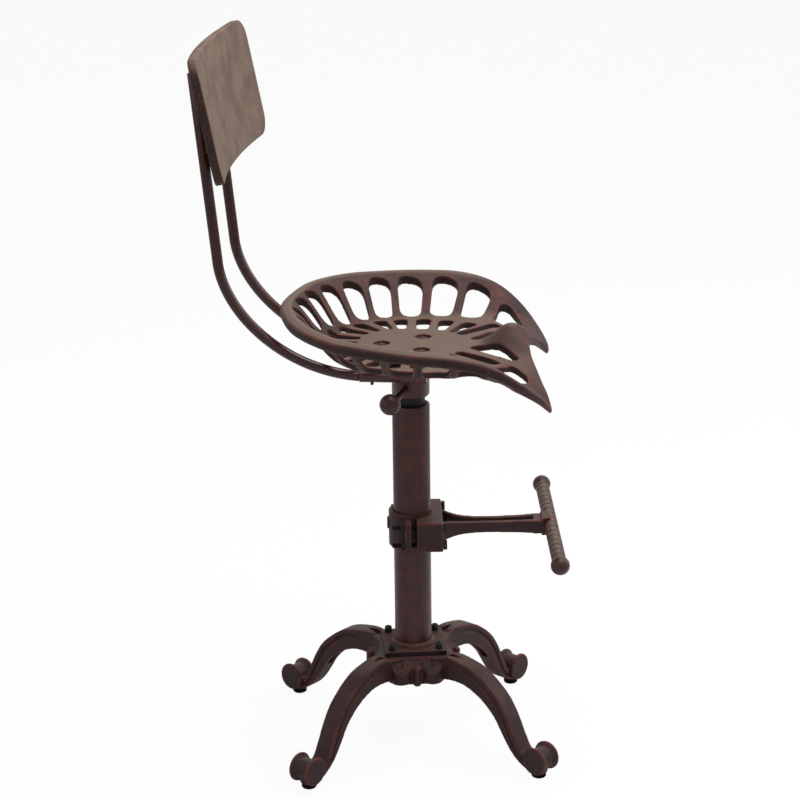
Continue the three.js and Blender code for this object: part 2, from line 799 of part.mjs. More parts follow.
function backPlate() {
  const halfW = backWidth / 2;
  const halfH = backHeight / 2;
  const columns = backColumns;
  const rows = backCornerRows;
  const spreadAt = (h) => {
    const beyond = Math.max(0, Math.abs(h) - (halfH - backCorner));
    return halfW - backCorner + Math.sqrt(Math.max(0, backCorner ** 2 - beyond ** 2));
  };
  const steps = [];
  for (let j = 0; j <= rows; j += 1) {
    const angle = (Math.PI / 2) * (j / rows);
    steps.push(halfH - backCorner + backCorner * Math.sin(angle));
  }
  const heights = [...steps.map((h) => -h).reverse(), ...steps];
  const vertices = [];
  const faces = [];
  const layer = [0, backThickness];
  heights.forEach((h) => {
    for (let i = 0; i <= columns; i += 1) {
      const s = (2 * i / columns - 1) * spreadAt(h);
      layer.forEach((d) => vertices.push(...onBackPlate(s, h, d).toArray()));
    }
  });
  const at = (j, i, side) => 2 * (j * (columns + 1) + i) + side;
  const quad = (a, b, c, d) => faces.push(a, b, c, a, c, d);
  const lastRow = heights.length - 1;
  for (let j = 0; j < lastRow; j += 1) {
    for (let i = 0; i < columns; i += 1) {
      quad(at(j, i, 0), at(j, i + 1, 0), at(j + 1, i + 1, 0), at(j + 1, i, 0));
      quad(at(j, i, 1), at(j + 1, i, 1), at(j + 1, i + 1, 1), at(j, i + 1, 1));
    }
    quad(at(j, 0, 0), at(j + 1, 0, 0), at(j + 1, 0, 1), at(j, 0, 1));
    quad(at(j, columns, 0), at(j, columns, 1), at(j + 1, columns, 1), at(j + 1, columns, 0));
  }
  for (let i = 0; i < columns; i += 1) {
    quad(at(0, i, 0), at(0, i, 1), at(0, i + 1, 1), at(0, i + 1, 0));
    quad(at(lastRow, i, 0), at(lastRow, i + 1, 0), at(lastRow, i + 1, 1), at(lastRow, i, 1));
  }
  const geometry = new THREE.BufferGeometry();
  geometry.setAttribute('position', new THREE.Float32BufferAttribute(vertices, 3));
  geometry.setIndex(faces);
  return geometry;
}

// A short bar from the plate's back to the front of the rod behind it
function standoff(side) {
  const s = side * backRadius * Math.asin(rodSide / backRadius);
  const spacer = bar(standoffDiameter / 2, onBackPlate(s, -standoffDrop, backThickness + fit),
    onBackPlate(s, -standoffDrop, backThickness + standoffReach), smallSegments);
  const [, straight] = rodPath(side).curves;
  const way = new THREE.Vector3().subVectors(straight.v2, straight.v1).normalize();
  const low = straight.v1.clone().addScaledVector(way, -rodDiameter);
  const high = straight.v2.clone().addScaledVector(way, rodDiameter);
  const room = bar(rodDiameter / 2 + fit, low, high, roundSegments);
  return solidOf(spacer).subtract(solidOf(room));
}

// Seat casting

function seatEdge() {
  const size = new THREE.Vector3(seatLength, seatHalfWidth, seatBowlRise);
  const at = (shares) => new THREE.Vector3(...shares).multiply(size);
  const left = seatEdgeShares.map(at);
  const front = at(seatFrontShares);
  const right = left.slice(1).reverse().map((p) => new THREE.Vector3(p.x, -p.y, p.z));
  return new THREE.CatmullRomCurve3([...left, front, ...right], true, 'centripetal');
}

function smooth(value) {
  const t = Math.min(Math.max(value, 0), 1);
  return t * t * (3 - 2 * t);
}

function pommel(x, y) {
  return pommelRise * Math.exp(-(((x - pommelForward) / pommelHalfLength) ** 2) - (y / pommelHalfWidth) ** 2);
}

// Height of the seat's upper face at a share of the way from its middle to its edge
function seatTopAt(edge, share) {
  const x = edge.x * share;
  const y = edge.y * share;
  const rise = smooth((share - seatFlatShare) / (seatRimShare - seatFlatShare));
  const droop = Math.max(0, (share - seatFlatShare) / (1 - seatFlatShare)) ** seatDroopPower;
  const climb = edge.z > 0 ? rise : droop;
  const roll = seatRimDrop * smooth((share - seatRimShare) / (1 - seatRimShare));
  return new THREE.Vector3(x, y, seatFloor + edge.z * climb + pommel(x, y) - roll);
}

// Upright thickness at the edge: least at the tips of the front lobes
function seatRimThickness(edge) {
  const fall = Math.min(Math.max(-edge.z / seatBowlRise, 0), 1);
  return seatEdgeThickness + (seatTipThickness - seatEdgeThickness) * fall;
}

// Upright thickness: a boss in the middle, a thin pan round it and more where the bowl is steep
function seatThicknessAt(edge, share) {
  if (share <= seatBossShare) return seatCastThickness;
  const steep = smooth((share - seatFlatShare) / (1 - seatFlatShare));
  return seatPanThickness + (seatRimThickness(edge) - seatPanThickness) * steep;
}

function seatPan() {
  const edge = seatEdge();
  const rim = [];
  for (let i = 0; i < seatRimSteps; i += 1) rim.push(edge.getPoint(i / seatRimSteps));
  const vertices = [];
  const faces = [];
  const push = (p) => vertices.push(p.x, p.y, p.z) / 3 - 1;
  const rings = [];
  seatRingShares.forEach((share) => rings.push(rim.map((p) => push(seatTopAt(p, share)))));
  rings.push(rim.map((p) => {
    const out = new THREE.Vector2(p.x, p.y).normalize().multiplyScalar(seatEdgeBulge);
    const top = seatTopAt(p, 1);
    return push(new THREE.Vector3(top.x + out.x, top.y + out.y, top.z - seatRimThickness(p) / 2));
  }));
  [...seatRingShares].reverse().forEach((share) => rings.push(rim.map((p) => {
    const top = seatTopAt(p, share);
    return push(top.setZ(top.z - seatThicknessAt(p, share)));
  })));
  const topMiddle = push(new THREE.Vector3(0, 0, seatFloor));
  const underMiddle = push(new THREE.Vector3(0, 0, seatFloor - seatCastThickness));
  for (let i = 0; i < seatRimSteps; i += 1) {
    const next = (i + 1) % seatRimSteps;
    faces.push(topMiddle, rings[0][next], rings[0][i]);
    const last = rings[rings.length - 1];
    faces.push(underMiddle, last[i], last[next]);
    for (let j = 0; j < rings.length - 1; j += 1) {
      faces.push(rings[j][i], rings[j][next], rings[j + 1][next]);
      faces.push(rings[j][i], rings[j + 1][next], rings[j + 1][i]);
    }
  }
  const geometry = new THREE.BufferGeometry();
  geometry.setAttribute('position', new THREE.Float32BufferAttribute(vertices, 3));
  geometry.setIndex(faces);
  return solidOf(geometry);
}

const planPoint = (ahead, aside) => new THREE.Vector2(ahead * seatLength, aside * seatHalfWidth);

function mirrored(points) {
  return points.map((p) => new THREE.Vector2(p.x, -p.y));
}

// The four corners of a slot from the middles of its two ends and its half widths there
function slotCorners(outer, outerHalf, inner, innerHalf) {
  const way = new THREE.Vector2().subVectors(inner, outer).normalize();
  const aside = new THREE.Vector2(-way.y, way.x);
  return [[outer, outerHalf], [inner, innerHalf], [inner, -innerHalf], [outer, -outerHalf]]
    .map(([end, half]) => end.clone().addScaledVector(aside, half));
}

// One side's slots of a ring; their widths leave a rib of even width between neighbours
function ringSlots(shares) {
  const ends = shares.map(([outX, outY, inX, inY]) => [planPoint(outX, outY), planPoint(inX, inY)]);
  const halfAt = (i, k) => {
    const here = ends[i][k];
    const spans = [];
    if (i > 0) spans.push(here.distanceTo(ends[i - 1][k]));
    if (i < ends.length - 1) spans.push(here.distanceTo(ends[i + 1][k]));
    else if (here.y > 0) spans.push(2 * here.y);
    return (spans.reduce((sum, span) => sum + span) / spans.length - slotRib) / 2;
  };
  return ends.map(([outer, inner], i) => slotCorners(outer, halfAt(i, 0), inner, halfAt(i, 1)));
}

function seatSlots() {
  const inner = ringSlots(innerSlotShares);
  const rear = inner.pop();
  const [tipX, tipY, endX, endY] = longSlotShares;
  const long = slotCorners(planPoint(endX, endY), longSlotEnd, planPoint(tipX, tipY), longSlotTip);
  const ring = [...ringSlots(outerSlotShares), ...inner];
  const cornersOf = (shares) => shares.map(([x, y]) => planPoint(x, y));
  const front = [long, cornersOf(frontSlotShares), cornersOf(lobeSlotShares)];
  return [
    ...[...ring, ...ring.map(mirrored), rear].map((corners) => roundedOutline(corners, slotCorner)),
    ...[...front, ...front.map(mirrored)].map((corners) => roundedOutline(corners, frontSlotCorner)),
  ];
}

function seatCasting() {
  const low = seatFloor - seatBowlRise - seatCastThickness * 2;
  const high = seatFloor + seatBowlRise * 2;
  const slots = seatSlots().map((shape) => solidOf(prism(shape, low, high, slotSteps)));
  const recesses = seatScrewHoles(seatRecess / 2, seatFloor - seatRecessDepth, seatFloor + overrun);
  const holes = seatScrewHoles(seatScrewShank / 2 + fit, low, high);
  return without(seatPan(), [...slots, ...recesses, ...holes]);
}

function seatScrew(place, index) {
  const seat = seatFloor - seatRecessDepth + fit;
  const end = bracketBottom - 2 * fit - seatNutHeight - fit;
  const [x, y] = place;
  const top = seat + seatScrewHeadHeight;
  const radius = seatScrewHead / 2;
  const screw = turned([[0, end], [seatScrewShank / 2, end], [seatScrewShank / 2, seat], [radius, seat],
    [radius, seat + seatScrewHeadHeight * seatScrewSideShare], [radius / 2, top], [0, top]], smallSegments);
  screw.translate(x, y, 0);
  return meshOf(`seat_screw_${index + 1}`, screw, blackSteel());
}

function seatNut([x, y], index) {
  const top = bracketBottom - fit;
  const nut = solidOf(hexPrism(seatNutWidth, top - seatNutHeight, top));
  const low = top - seatNutHeight - overrun;
  const hole = solidOf(post(seatScrewShank / 2 + fit, low, top + overrun, smallSegments));
  return meshOf(`seat_nut_${index + 1}`, nut.subtract(hole).translate([x, y, 0]), blackSteel());
}

// Footrest clamp

const clampBore = columnOuter / 2 + fit;
const clampLow = footrestHeight - clampHeight / 2;
const clampHigh = footrestHeight + clampHeight / 2;

function boltPlaces() {
  const half = clampBoltSpan / 2;
  const rise = clampBoltDrop / 2;
  return [[-half, rise], [-half, -rise], [half, rise], [half, -rise]];
}

function boltHoles(from, to) {
  return boltPlaces().map(([y, rise]) => solidOf(bar(clampBoltDiameter / 2 + fit,
    new THREE.Vector3(from, y, footrestHeight + rise), new THREE.Vector3(to, y, footrestHeight + rise))));
}

function clampBand() {
  const outer = clampBore + clampBandWall;
  const low = footrestHeight - clampBandHeight / 2;
  const high = footrestHeight + clampBandHeight / 2;
  const tube = solidOf(post(outer, low, high));
  const ears = solidOf(block(new THREE.Vector3(-clampEarBack, -clampHalfSpan, clampLow),
    new THREE.Vector3(-clampEarFront, clampHalfSpan, clampHigh)));
  const frontHalf = solidOf(block(new THREE.Vector3(-clampEarFront, -clampHalfSpan - overrun, low - overrun),
    new THREE.Vector3(clampBlockFront, clampHalfSpan + overrun, high + overrun)));
  const boss = solidOf(bar(clampBossRadius,
    new THREE.Vector3(-outer - clampBossLength + clampBandWall, 0, footrestHeight + clampBossRise),
    new THREE.Vector3(-clampBore, 0, footrestHeight + clampBossRise), smallSegments));
  const bore = solidOf(post(clampBore, low - overrun, high + overrun));
  const holes = boltHoles(-clampEarBack - overrun, -clampEarFront + overrun);
  const seats = boltPlaces().map(([y, rise]) => solidOf(bar(clampBoltHead / 2 + clampBoltRoom,
    new THREE.Vector3(-outer, y, footrestHeight + rise),
    new THREE.Vector3(-clampEarBack, y, footrestHeight + rise), smallSegments)));
  return without(joined([tube, ears, boss]), [frontHalf, bore, ...holes, ...seats]);
}

// A closed outline made of a line of points and its mirror image across the X axis
function mirroredShape(line) {
  return new THREE.Shape([...line, ...mirrored(line).reverse()]);
}

function armLine(shares, half) {
  const points = shares.map(([ahead, aside]) => new THREE.Vector2(ahead * barReach, aside * half));
  return new THREE.SplineCurve(points).getPoints(armSteps);
}

function armRails() {
  const widths = armLine(armWidthShares, armRootHalfWidth);
  const heights = armLine(armHeightShares, armRootHalfHeight);
  const bossEnd = barReach - barRadius - fit;
  const bossStart = bossEnd - armBossLength;
  const windowLine = widths.map((p) => new THREE.Vector2(p.x, p.y - armRailWidth))
    .filter((p) => p.x < bossStart);
  windowLine.push(new THREE.Vector2(bossStart, windowLine[windowLine.length - 1].y));
  const high = armRootHalfHeight + overrun;
  const plan = solidOf(prism(mirroredShape(widths), -high, high));
  const side = solidOf(slab(mirroredShape(heights), 2 * armRootHalfWidth + overrun));
  const gap = solidOf(prism(mirroredShape(windowLine), -high - overrun, high + overrun));
  const boss = solidOf(block(new THREE.Vector3(bossStart - overrun, -armBossWidth / 2, -armBossHalfHeight),
    new THREE.Vector3(bossEnd, armBossWidth / 2, armBossHalfHeight)));
  return plan.intersect(side).subtract(gap).add(boss).translate([0, 0, footrestHeight]);
}

function footrestArm() {
  const outline = [[clampBlockFront, -clampHalfSpan], [clampBlockFront, clampHalfSpan],
    [clampBlockBack, clampHalfSpan], [clampBlockBack, -clampHalfSpan]];
  const shape = roundedOutline(outline.map(([x, y]) => new THREE.Vector2(x, y)), clampBlockCorner);
  const body = solidOf(prism(shape, clampLow, clampHigh));
  const bore = solidOf(post(clampBore, clampLow - overrun, clampHigh + overrun));
  const holes = boltHoles(clampBlockBack - overrun, clampBlockFront + overrun);
  return without(body.add(armRails()), [bore, ...holes]);
}

function crossbar() {
  const half = barLength / 2 - barBall / 2;
  const pitch = (2 * half) / barRibs;
  const profile = [[0, -half - barSpigotLength], [barSpigotRadius, -half - barSpigotLength],
    [barSpigotRadius, -half]];
  for (let i = 0; i < barRibs; i += 1) {
    const start = -half + i * pitch;
    profile.push([barRadius - barGroove, start], [barRadius, start + pitch * ribRiseShare],
      [barRadius, start + pitch * (1 - ribRiseShare)]);
  }
  profile.push([barRadius - barGroove, half], [barSpigotRadius, half],
    [barSpigotRadius, half + barSpigotLength], [0, half + barSpigotLength]);
  const geometry = turned(profile, barSegments);
  geometry.rotateX(Math.PI / 2);
  geometry.translate(barReach, 0, footrestHeight);
  return geometry;
}

function crossbarBall(side) {
  const centre = new THREE.Vector3(barReach, side * barLength / 2, footrestHeight);
  const ball = new THREE.SphereGeometry(barBall / 2, ballSegments, ballRings);
  ball.translate(...centre.toArray());
  const barEnd = barLength / 2 - barBall / 2;
  const mouth = new THREE.Vector3(barReach, side * (barEnd - barBall / 2), footrestHeight);
  const end = new THREE.Vector3(barReach, side * (barEnd + barSpigotLength + fit), footrestHeight);
  const flat = block(new THREE.Vector3(-barBall, -barBall, -barBall), new THREE.Vector3(barBall, 0, barBall));
  flat.rotateZ(side > 0 ? 0 : Math.PI);
  flat.translate(barReach, side * (barEnd + fit), footrestHeight);
  const hole = solidOf(bar(barSpigotRadius + fit, mouth, end, smallSegments));
  return without(solidOf(ball), [hole, solidOf(flat)]);
}

function clampBolt([y, rise], index) {
  const centre = footrestHeight + rise;
  const headBack = clampBlockFront + fit;
  const tail = -clampEarBack - clampNutHeight - fit - clampBoltTail;
  const head = along(new THREE.Vector3(1, 0, 0),
    hexPrism(clampBoltHead, headBack, headBack + clampBoltHeadHeight));
  head.translate(0, y, centre);
  const shank = bar(clampBoltDiameter / 2, new THREE.Vector3(tail, y, centre),
    new THREE.Vector3(headBack + fit, y, centre));
  return meshOf(`clamp_bolt_${index + 1}`, solidOf(head).add(solidOf(shank)), blackSteel());
}

function clampNut([y, rise], index) {
  const centre = footrestHeight + rise;
  const front = -clampEarBack - fit;
  const nut = along(new THREE.Vector3(1, 0, 0), hexPrism(clampBoltHead, front - clampNutHeight, front));
  nut.translate(0, y, centre);
  const hole = bar(clampBoltDiameter / 2 + fit, new THREE.Vector3(front - clampNutHeight - overrun, y, centre),
    new THREE.Vector3(front + overrun, y, centre));
  return meshOf(`clamp_nut_${index + 1}`, solidOf(nut).subtract(solidOf(hole)), blackSteel());
}

// Assembly

function turnedGroup(turn, meshes) {
  const group = new THREE.Group();
  group.rotation.z = deg(turn);
  group.add(...meshes);
  return group;
}

const base = turnedGroup(baseTurn, [
  meshOf('base_casting', baseCasting(), bronze()),
  ...[0, 1, 2, 3].map(footPad),
  meshOf('foot_plate', footPlate(), bronze()),
  ...plateScrewPlaces().map(plateScrew),
  meshOf('column_tube', columnTube(), bronze()),
  meshOf('column_weld', columnWeld(), bronze()),
  meshOf('column_nut', columnNut(), blackSteel()),
]);

const lift = turnedGroup(0, [
  meshOf('spindle', spindle(), blackSteel()),
  meshOf('spindle_stop', spindleStop(), blackSteel()),
]);

const sides = [['left', 1], ['right', -1]];

const seat = turnedGroup(seatTurn, [
  meshOf('thrust_washer', thrustWasher(), blackSteel()),
  meshOf('seat_collar', seatCollar(), bronze()),
  meshOf('knob_screw', knobScrew(), bronze()),
  meshOf('knob_ball', knobHead(), bronze()),
  meshOf('seat_casting', seatCasting(), bronze()),
  ...seatScrewPlaces().map(seatScrew),
  ...seatScrewPlaces().map(seatNut),
]);

const backrest = turnedGroup(backTurn, [
  meshOf('bracket_plate', bracketPlate(), bronze()),
  ...sides.map(([name, side]) => meshOf(`rod_socket_${name}`, rodSocket(side), bronze())),
  ...sides.map(([name, side]) => meshOf(`socket_screw_${name}`, socketScrew(side), blackSteel())),
  ...sides.map(([name, side]) => meshOf(`back_rod_${name}`, backRod(side), bronze())),
  ...sides.map(([name, side]) => meshOf(`back_standoff_${name}`, standoff(side), bronze())),
  meshOf('back_plate', backPlate(), bronze()),
]);

const footrest = turnedGroup(footrestTurn, [
  meshOf('clamp_band', clampBand(), bronze()),
  meshOf('footrest_arm', footrestArm(), bronze()),
  meshOf('crossbar', crossbar(), bronze()),
  ...sides.map(([name, side]) => meshOf(`crossbar_ball_${name}`, crossbarBall(side), bronze())),
  ...boltPlaces().map(clampBolt),
  ...boltPlaces().map(clampNut),
]);

const stool = new THREE.Group();
stool.add(base, lift, seat, backrest, footrest);
stool.updateMatrixWorld(true);

// The footprint's middle and the floor become the origin
const box = new THREE.Box3().setFromObject(stool, true);
const middle = box.getCenter(new THREE.Vector3());
stool.position.set(-middle.x, -middle.y, -box.min.z);

export default stool;
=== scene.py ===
import math

import bmesh
import bpy
from mathutils import Matrix, Vector


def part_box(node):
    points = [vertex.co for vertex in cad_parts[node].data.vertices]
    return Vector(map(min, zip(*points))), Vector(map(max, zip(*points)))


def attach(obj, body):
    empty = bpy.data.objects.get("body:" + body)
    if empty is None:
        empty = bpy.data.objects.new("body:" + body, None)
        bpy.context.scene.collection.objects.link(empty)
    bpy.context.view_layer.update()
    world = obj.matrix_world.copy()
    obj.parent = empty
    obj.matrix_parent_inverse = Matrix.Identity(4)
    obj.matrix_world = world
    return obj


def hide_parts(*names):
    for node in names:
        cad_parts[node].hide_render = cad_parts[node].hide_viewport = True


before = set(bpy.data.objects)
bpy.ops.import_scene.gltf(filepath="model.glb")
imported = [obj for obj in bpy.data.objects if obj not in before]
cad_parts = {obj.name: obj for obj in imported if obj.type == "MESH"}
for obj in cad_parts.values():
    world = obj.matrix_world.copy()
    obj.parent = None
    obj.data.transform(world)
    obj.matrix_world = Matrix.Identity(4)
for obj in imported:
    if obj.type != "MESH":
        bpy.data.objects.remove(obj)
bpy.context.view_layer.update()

# Sizes are in millimetres, in a frame whose Z axis is the column's own axis
MM = 0.001


def centre_of(node):
    low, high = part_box(node)
    return [(a + b) / 2 for a, b in zip(low, high)]


# The column's axis, in metres in the frame
AXIS_X, AXIS_Y, _ = centre_of("column_tube")

# Turns about the column, in degrees
BASE_TURN = 4.6
FOOTREST_TURN = 1.2
SEAT_TURN = -2.5
BACK_TURN = -5.5

# Gap between pieces that lie against each other, and how far a cut reaches past what it cuts
FIT = 0.3
OVERRUN = 4

# Hub of the base casting
HUB_TOP = 147
HUB_BOTTOM = 107
HUB_SHOULDER = 127
HUB_HALF = 57
HUB_CORNER = 20
HUB_TOP_HALF = 50
HUB_ROOF = 14
HUB_WALL = 8
CAVITY_CORNER = 18
STAR_REACH = 76
STAR_HOLLOW = 30
STAR_CORNER = 2
STAR_DEPTH = 11
STAR_SINK = 0.4
PLATE_THICKNESS = 7
PLATE_SCREW_PLACE = 36
PLATE_SCREW_HOLE = 3.6

# Legs
LEG_TURN = 45
LEG_SPREAD = 267
LEG_WIDTH = 27.5
LEG_NECK_WIDTH = 21
LEG_NECK_SINK = 1.2
LEG_CAP_WIDTH = 28.5
LEG_CAP_DEPTH = 7
LEG_GROOVE_DEPTH = 12
LEG_STEPS = 8
LEG_TOE_POINTS = 6
LEG_START = 46
LEG_ROOF = 10
LEG_CHANNEL = 13
LEG_CHANNEL_SHARE = 0.72
LEG_POCKET_NEAR = 68
LEG_POCKET_FAR = 96
LEG_POCKET_HALF = 6
LEG_POCKET_DEPTH = 4
SCROLL_RADIUS = 21.7
SCROLL_WAIST = 16.5
SCROLL_FLARE = 2
SCROLL_WIDTH = 36
SCROLL_RIM = 6
SCROLL_RIM_SHARES = (0.7, 1.2, 1.8)
SCROLL_EDGE = 2
SCROLL_BEND = 0.6
SCROLL_REACH = 245
PAD_REACH = 242
PAD_HEIGHT = 8
PAD_SEAT_RADIUS = 13
LEG_TOP_SHARES = [(0.17, 0.96), (0.235, 0.975), (0.285, 1.02), (0.39, 1.005), (0.5, 0.95), (0.6, 0.83),
                  (0.67, 0.71), (0.727, 0.55), (0.778, 0.36), (0.82, 0.235), (0.87, 0.2)]
LEG_UNDER_SHARES = [(0.17, 0.73), (0.32, 0.78), (0.4, 0.775), (0.47, 0.735), (0.545, 0.66), (0.625, 0.53),
                    (0.69, 0.355), (0.735, 0.24), (0.785, 0.15), (0.845, 0.085), (0.9, 0.06)]

# Aprons between the legs
LOBE_RADIUS = 15.5
LOBE_OFFSET = 23.7
LOBE_SET = 56
LOBE_LOW = 110
APRON_SLOPE_HIGH = 144
APRON_SLOPE_LOW = 127.5
WEB_ROOT = 12
WEB_ROOT_SIDE = 14
WEB_EDGE = 5
WEB_EDGE_SIDE = 6
WEB_NOSE = 7
WEB_SINK = 1.5
PILLAR_RADIUS = 5.5
PILLAR_TOP = 134
PILLAR_TAPER_SHARE = 0.85
PILLAR_BALL_SHARE = 1.12
CURL_RADIUS = 7.5
CURL_LINE = 1.3
CURL_START = 15
CURL_SWEEP = 215
CURL_TIGHTER_SHARE = 0.2
CURL_AHEAD = 1
CURL_ASIDE = 5
CURL_STEPS = 24

# Seat
SEAT_FLOOR = 628
SEAT_LENGTH = 391
SEAT_HALF_WIDTH = 241
SEAT_RISE = 62
SEAT_THICKNESS = 13
SEAT_PAN_THICKNESS = 10
SEAT_EDGE_THICKNESS = 16.5
SEAT_TIP_THICKNESS = 9
SEAT_EDGE_BULGE = 4
SEAT_EDGE_STEPS = 7
SEAT_ROWS = 40
SEAT_LIP_STEPS = 6
SEAT_CORE_SHARE = 0.12
SEAT_BOSS_SHARES = (0.3, 0.36)
FLAT_SHARE = 0.6
RIM_SHARE = 0.95
RIM_DROP = 0.5
RIM_ROLL = 1.5
DROOP_POWER = 1.6
POMMEL_RISE = 17
POMMEL_FORWARD = 143
POMMEL_LENGTH = 27
POMMEL_WIDTH = 40
SEAT_EDGE_SHARES = [
    (-0.477, 0, 1), (-0.451, 0.277, 1), (-0.4, 0.525, 1), (-0.323, 0.706, 0.967), (-0.247, 0.819, 0.934),
    (-0.144, 0.895, 0.902), (-0.042, 0.954, 0.869), (0.06, 0.987, 0.836), (0.162, 1, 0.79),
    (0.262, 0.985, 0.66), (0.341, 0.955, 0.44), (0.418, 0.885, 0.06), (0.482, 0.765, -0.38),
    (0.516, 0.675, -0.7), (0.52, 0.61, -0.79), (0.508, 0.535, -0.58), (0.489, 0.455, -0.4),
    (0.468, 0.336, -0.2), (0.448, 0.21, -0.02), (0.438, 0.11, 0.18)]
SEAT_FRONT_SHARES = (0.436, 0, 0.262)
OUTER_SLOT_SHARES = [
    (0.26, 0.873, 0.216, 0.582), (0.126, 0.885, 0.099, 0.617), (-0.02, 0.849, -0.014, 0.6),
    (-0.146, 0.782, -0.112, 0.557), (-0.253, 0.671, -0.192, 0.489), (-0.342, 0.511, -0.252, 0.373),
    (-0.402, 0.321, -0.307, 0.236), (-0.434, 0.12, -0.337, 0.086)]
INNER_SLOT_SHARES = [
    (0.229, 0.453, 0.151, 0.244), (0.132, 0.514, 0.11, 0.292), (0.04, 0.544, 0.039, 0.313),
    (-0.052, 0.535, -0.038, 0.321), (-0.137, 0.498, -0.081, 0.313), (-0.219, 0.416, -0.128, 0.266),
    (-0.276, 0.301, -0.167, 0.206), (-0.317, 0.152, -0.193, 0.103), (-0.327, 0, -0.202, 0)]
FRONT_SLOT_SHARES = [(0.22, 0.101), (0.248, 0.059), (0.322, 0.118), (0.368, 0.176), (0.412, 0.269),
                     (0.389, 0.303), (0.307, 0.252)]
LOBE_SLOT_SHARES = [(0.355, 0.45), (0.307, 0.538), (0.335, 0.777), (0.373, 0.807), (0.409, 0.71),
                    (0.442, 0.525), (0.442, 0.45), (0.384, 0.366)]
LONG_SLOT_SHARES = [(0.33, 0.429), (0.179, 0.197)]
LONG_SLOT_HALVES = (10, 8)
LONG_SLOT_CORNER = 8
SLOT_CORNER = 9
SLOT_RIB = 12.5
OUTER_ROUND_SHARES = (1.4, 1.0)
INNER_ROUND_SHARES = (1.0, 0.8)
SEAT_SCREW_CIRCLE = 80
SEAT_SCREW_BACK = 2
SEAT_SCREW_ANGLES = (180, 60, -60)
SEAT_RECESS = 24
SEAT_RECESS_DEPTH = 5
SEAT_HOLE = 8.4

# Backrest plate
BACK_WIDTH = 404
BACK_HEIGHT = 177
BACK_THICKNESS = 13
BACK_RADIUS = 1200
BACK_CORNER = 29
BACK_LEAN = 11
BACK_MIDDLE = 987
BACK_SET = 266.5
BACK_EDGE_ROUND = 2.2
BACK_EDGE_STEPS = 4
BACK_ROWS = 40
BACK_COLUMNS = 64

# Backrest rods, sockets and the bracket plate over them
BRACKET_THICKNESS = 7
BRACKET_BOTTOM = SEAT_FLOOR - SEAT_THICKNESS - FIT - BRACKET_THICKNESS
SOCKET_RADIUS = 9
SOCKET_BACK = 67
SOCKET_EDGE = 0.8
ROD_SIDE = 74
ROD_RADIUS = 7.7
ROD_HEIGHT = BRACKET_BOTTOM - FIT - SOCKET_RADIUS
ROD_BEND_TOP = 770
ROD_BEND_REACH = 270
ROD_TOP = 1040
ROD_TOP_BACK = 296
ROD_UNDER_SHARES = (0.67, 0.04)
ROD_BACK_SHARES = (0.985, 0.56)
ROD_STRAIGHT_SHARES = (0.25, 0.5)
ROD_STEPS = 40
ROD_CHAMFER = 1.2
ROD_TIP_LONG = 1.5
ROD_TIP_SHORT = 0.5
SPIGOT_RADIUS = 5.5
SPIGOT_LENGTH = 36
SPIGOT_OVERLAP = 2

# Column, collar and knob
COLUMN_RADIUS = 28
COLUMN_WALL = 3.5
COLUMN_FOOT = HUB_TOP + FIT + PLATE_THICKNESS + FIT
COLUMN_TOP = 535
COLUMN_EDGE = 1.5
COLUMN_EDGE_SHARE = 0.3
COLUMN_INNER_EDGE = 0.5
WELD_LEG = 5.5
WELD_SHARES = [(0, 0), (1, 0), (0.92, 0.3), (0.7, 0.58), (0.4, 0.8), (0, 1)]
WELD_SEGMENTS = 144
WELD_RIPPLES = 18
WELD_RIPPLE_SHARE = 0.03
WELD_WAVES = 5
WELD_WAVE_SHARE = 0.05
COLLAR_BOTTOM = 548
COLLAR_TOP = BRACKET_BOTTOM - FIT
COLLAR_CHAMFER = 3
COLLAR_BEND = 0.4
COLLAR_BEND_LOW = 0.6
SPINDLE_RADIUS = 21.5
SPINDLE_ROOM = 0.1
KNOB_ANGLE = 252
KNOB_HEIGHT = 562
KNOB_REACH = 97
KNOB_RADIUS = 15.5
KNOB_STEM = 5.75
KNOB_OVERLAP = 6

# Footrest
FOOTREST_HEIGHT = 341
CLAMP_HALF_SPAN = 56
CLAMP_HALF_HEIGHT = 22.5
CLAMP_FRONT = 45
CLAMP_BACK = 5.5
CLAMP_BORE = COLUMN_RADIUS + FIT
CLAMP_CORNER = 2.5
BOLT_SIDE = 47
BOLT_RISE = 14
BOLT_RADIUS = 4
BOLT_HEAD = 13
BOLT_HEAD_HEIGHT = 5.5
BOLT_CHAMFER = 0.9
BOLT_HEAD_TOP_SHARE = 0.9
BOLT_TAIL = -31
THREAD_PITCH = 1.25
THREAD_RUN = 0.6
THREAD_DEPTH = 0.75
ARM_RAIL = 8
ARM_ROOT_WIDTH = 38
ARM_ROOT_HEIGHT = 15
ARM_STEPS = 6
ARM_WIDTH_SHARES = [(0.19, 0.9), (0.215, 0.84), (0.26, 0.66), (0.33, 0.5), (0.42, 0.41), (0.52, 0.38),
                    (0.65, 0.38), (0.78, 0.4), (0.9, 0.44)]
ARM_HEIGHT_SHARES = [(0.19, 1), (0.215, 0.97), (0.26, 0.86), (0.33, 0.68), (0.42, 0.58), (0.52, 0.56),
                     (0.65, 0.57), (0.78, 0.62), (0.9, 0.69)]
BOSS_LENGTH = 14
BOSS_HALF_WIDTH = 17
BOSS_HALF_HEIGHT = 10.4
BOSS_OVERLAP = 2
BAR_REACH = 209
BAR_HALF = 176
BAR_RADIUS = 10.6
BAR_GROOVE = 1.5
BAR_RIBS = 17
BAR_RIB_STEPS = 20
BAR_NOTCH_SHARE = 0.13
BAR_BALL = 14
BAR_BALL_OVERLAP = 1
BAR_LIP = 3.5

# Sides of the wide round pieces
RING_SIDES = 96

# Corners of a solid closer than this are one
MERGE_DISTANCE = 0.01

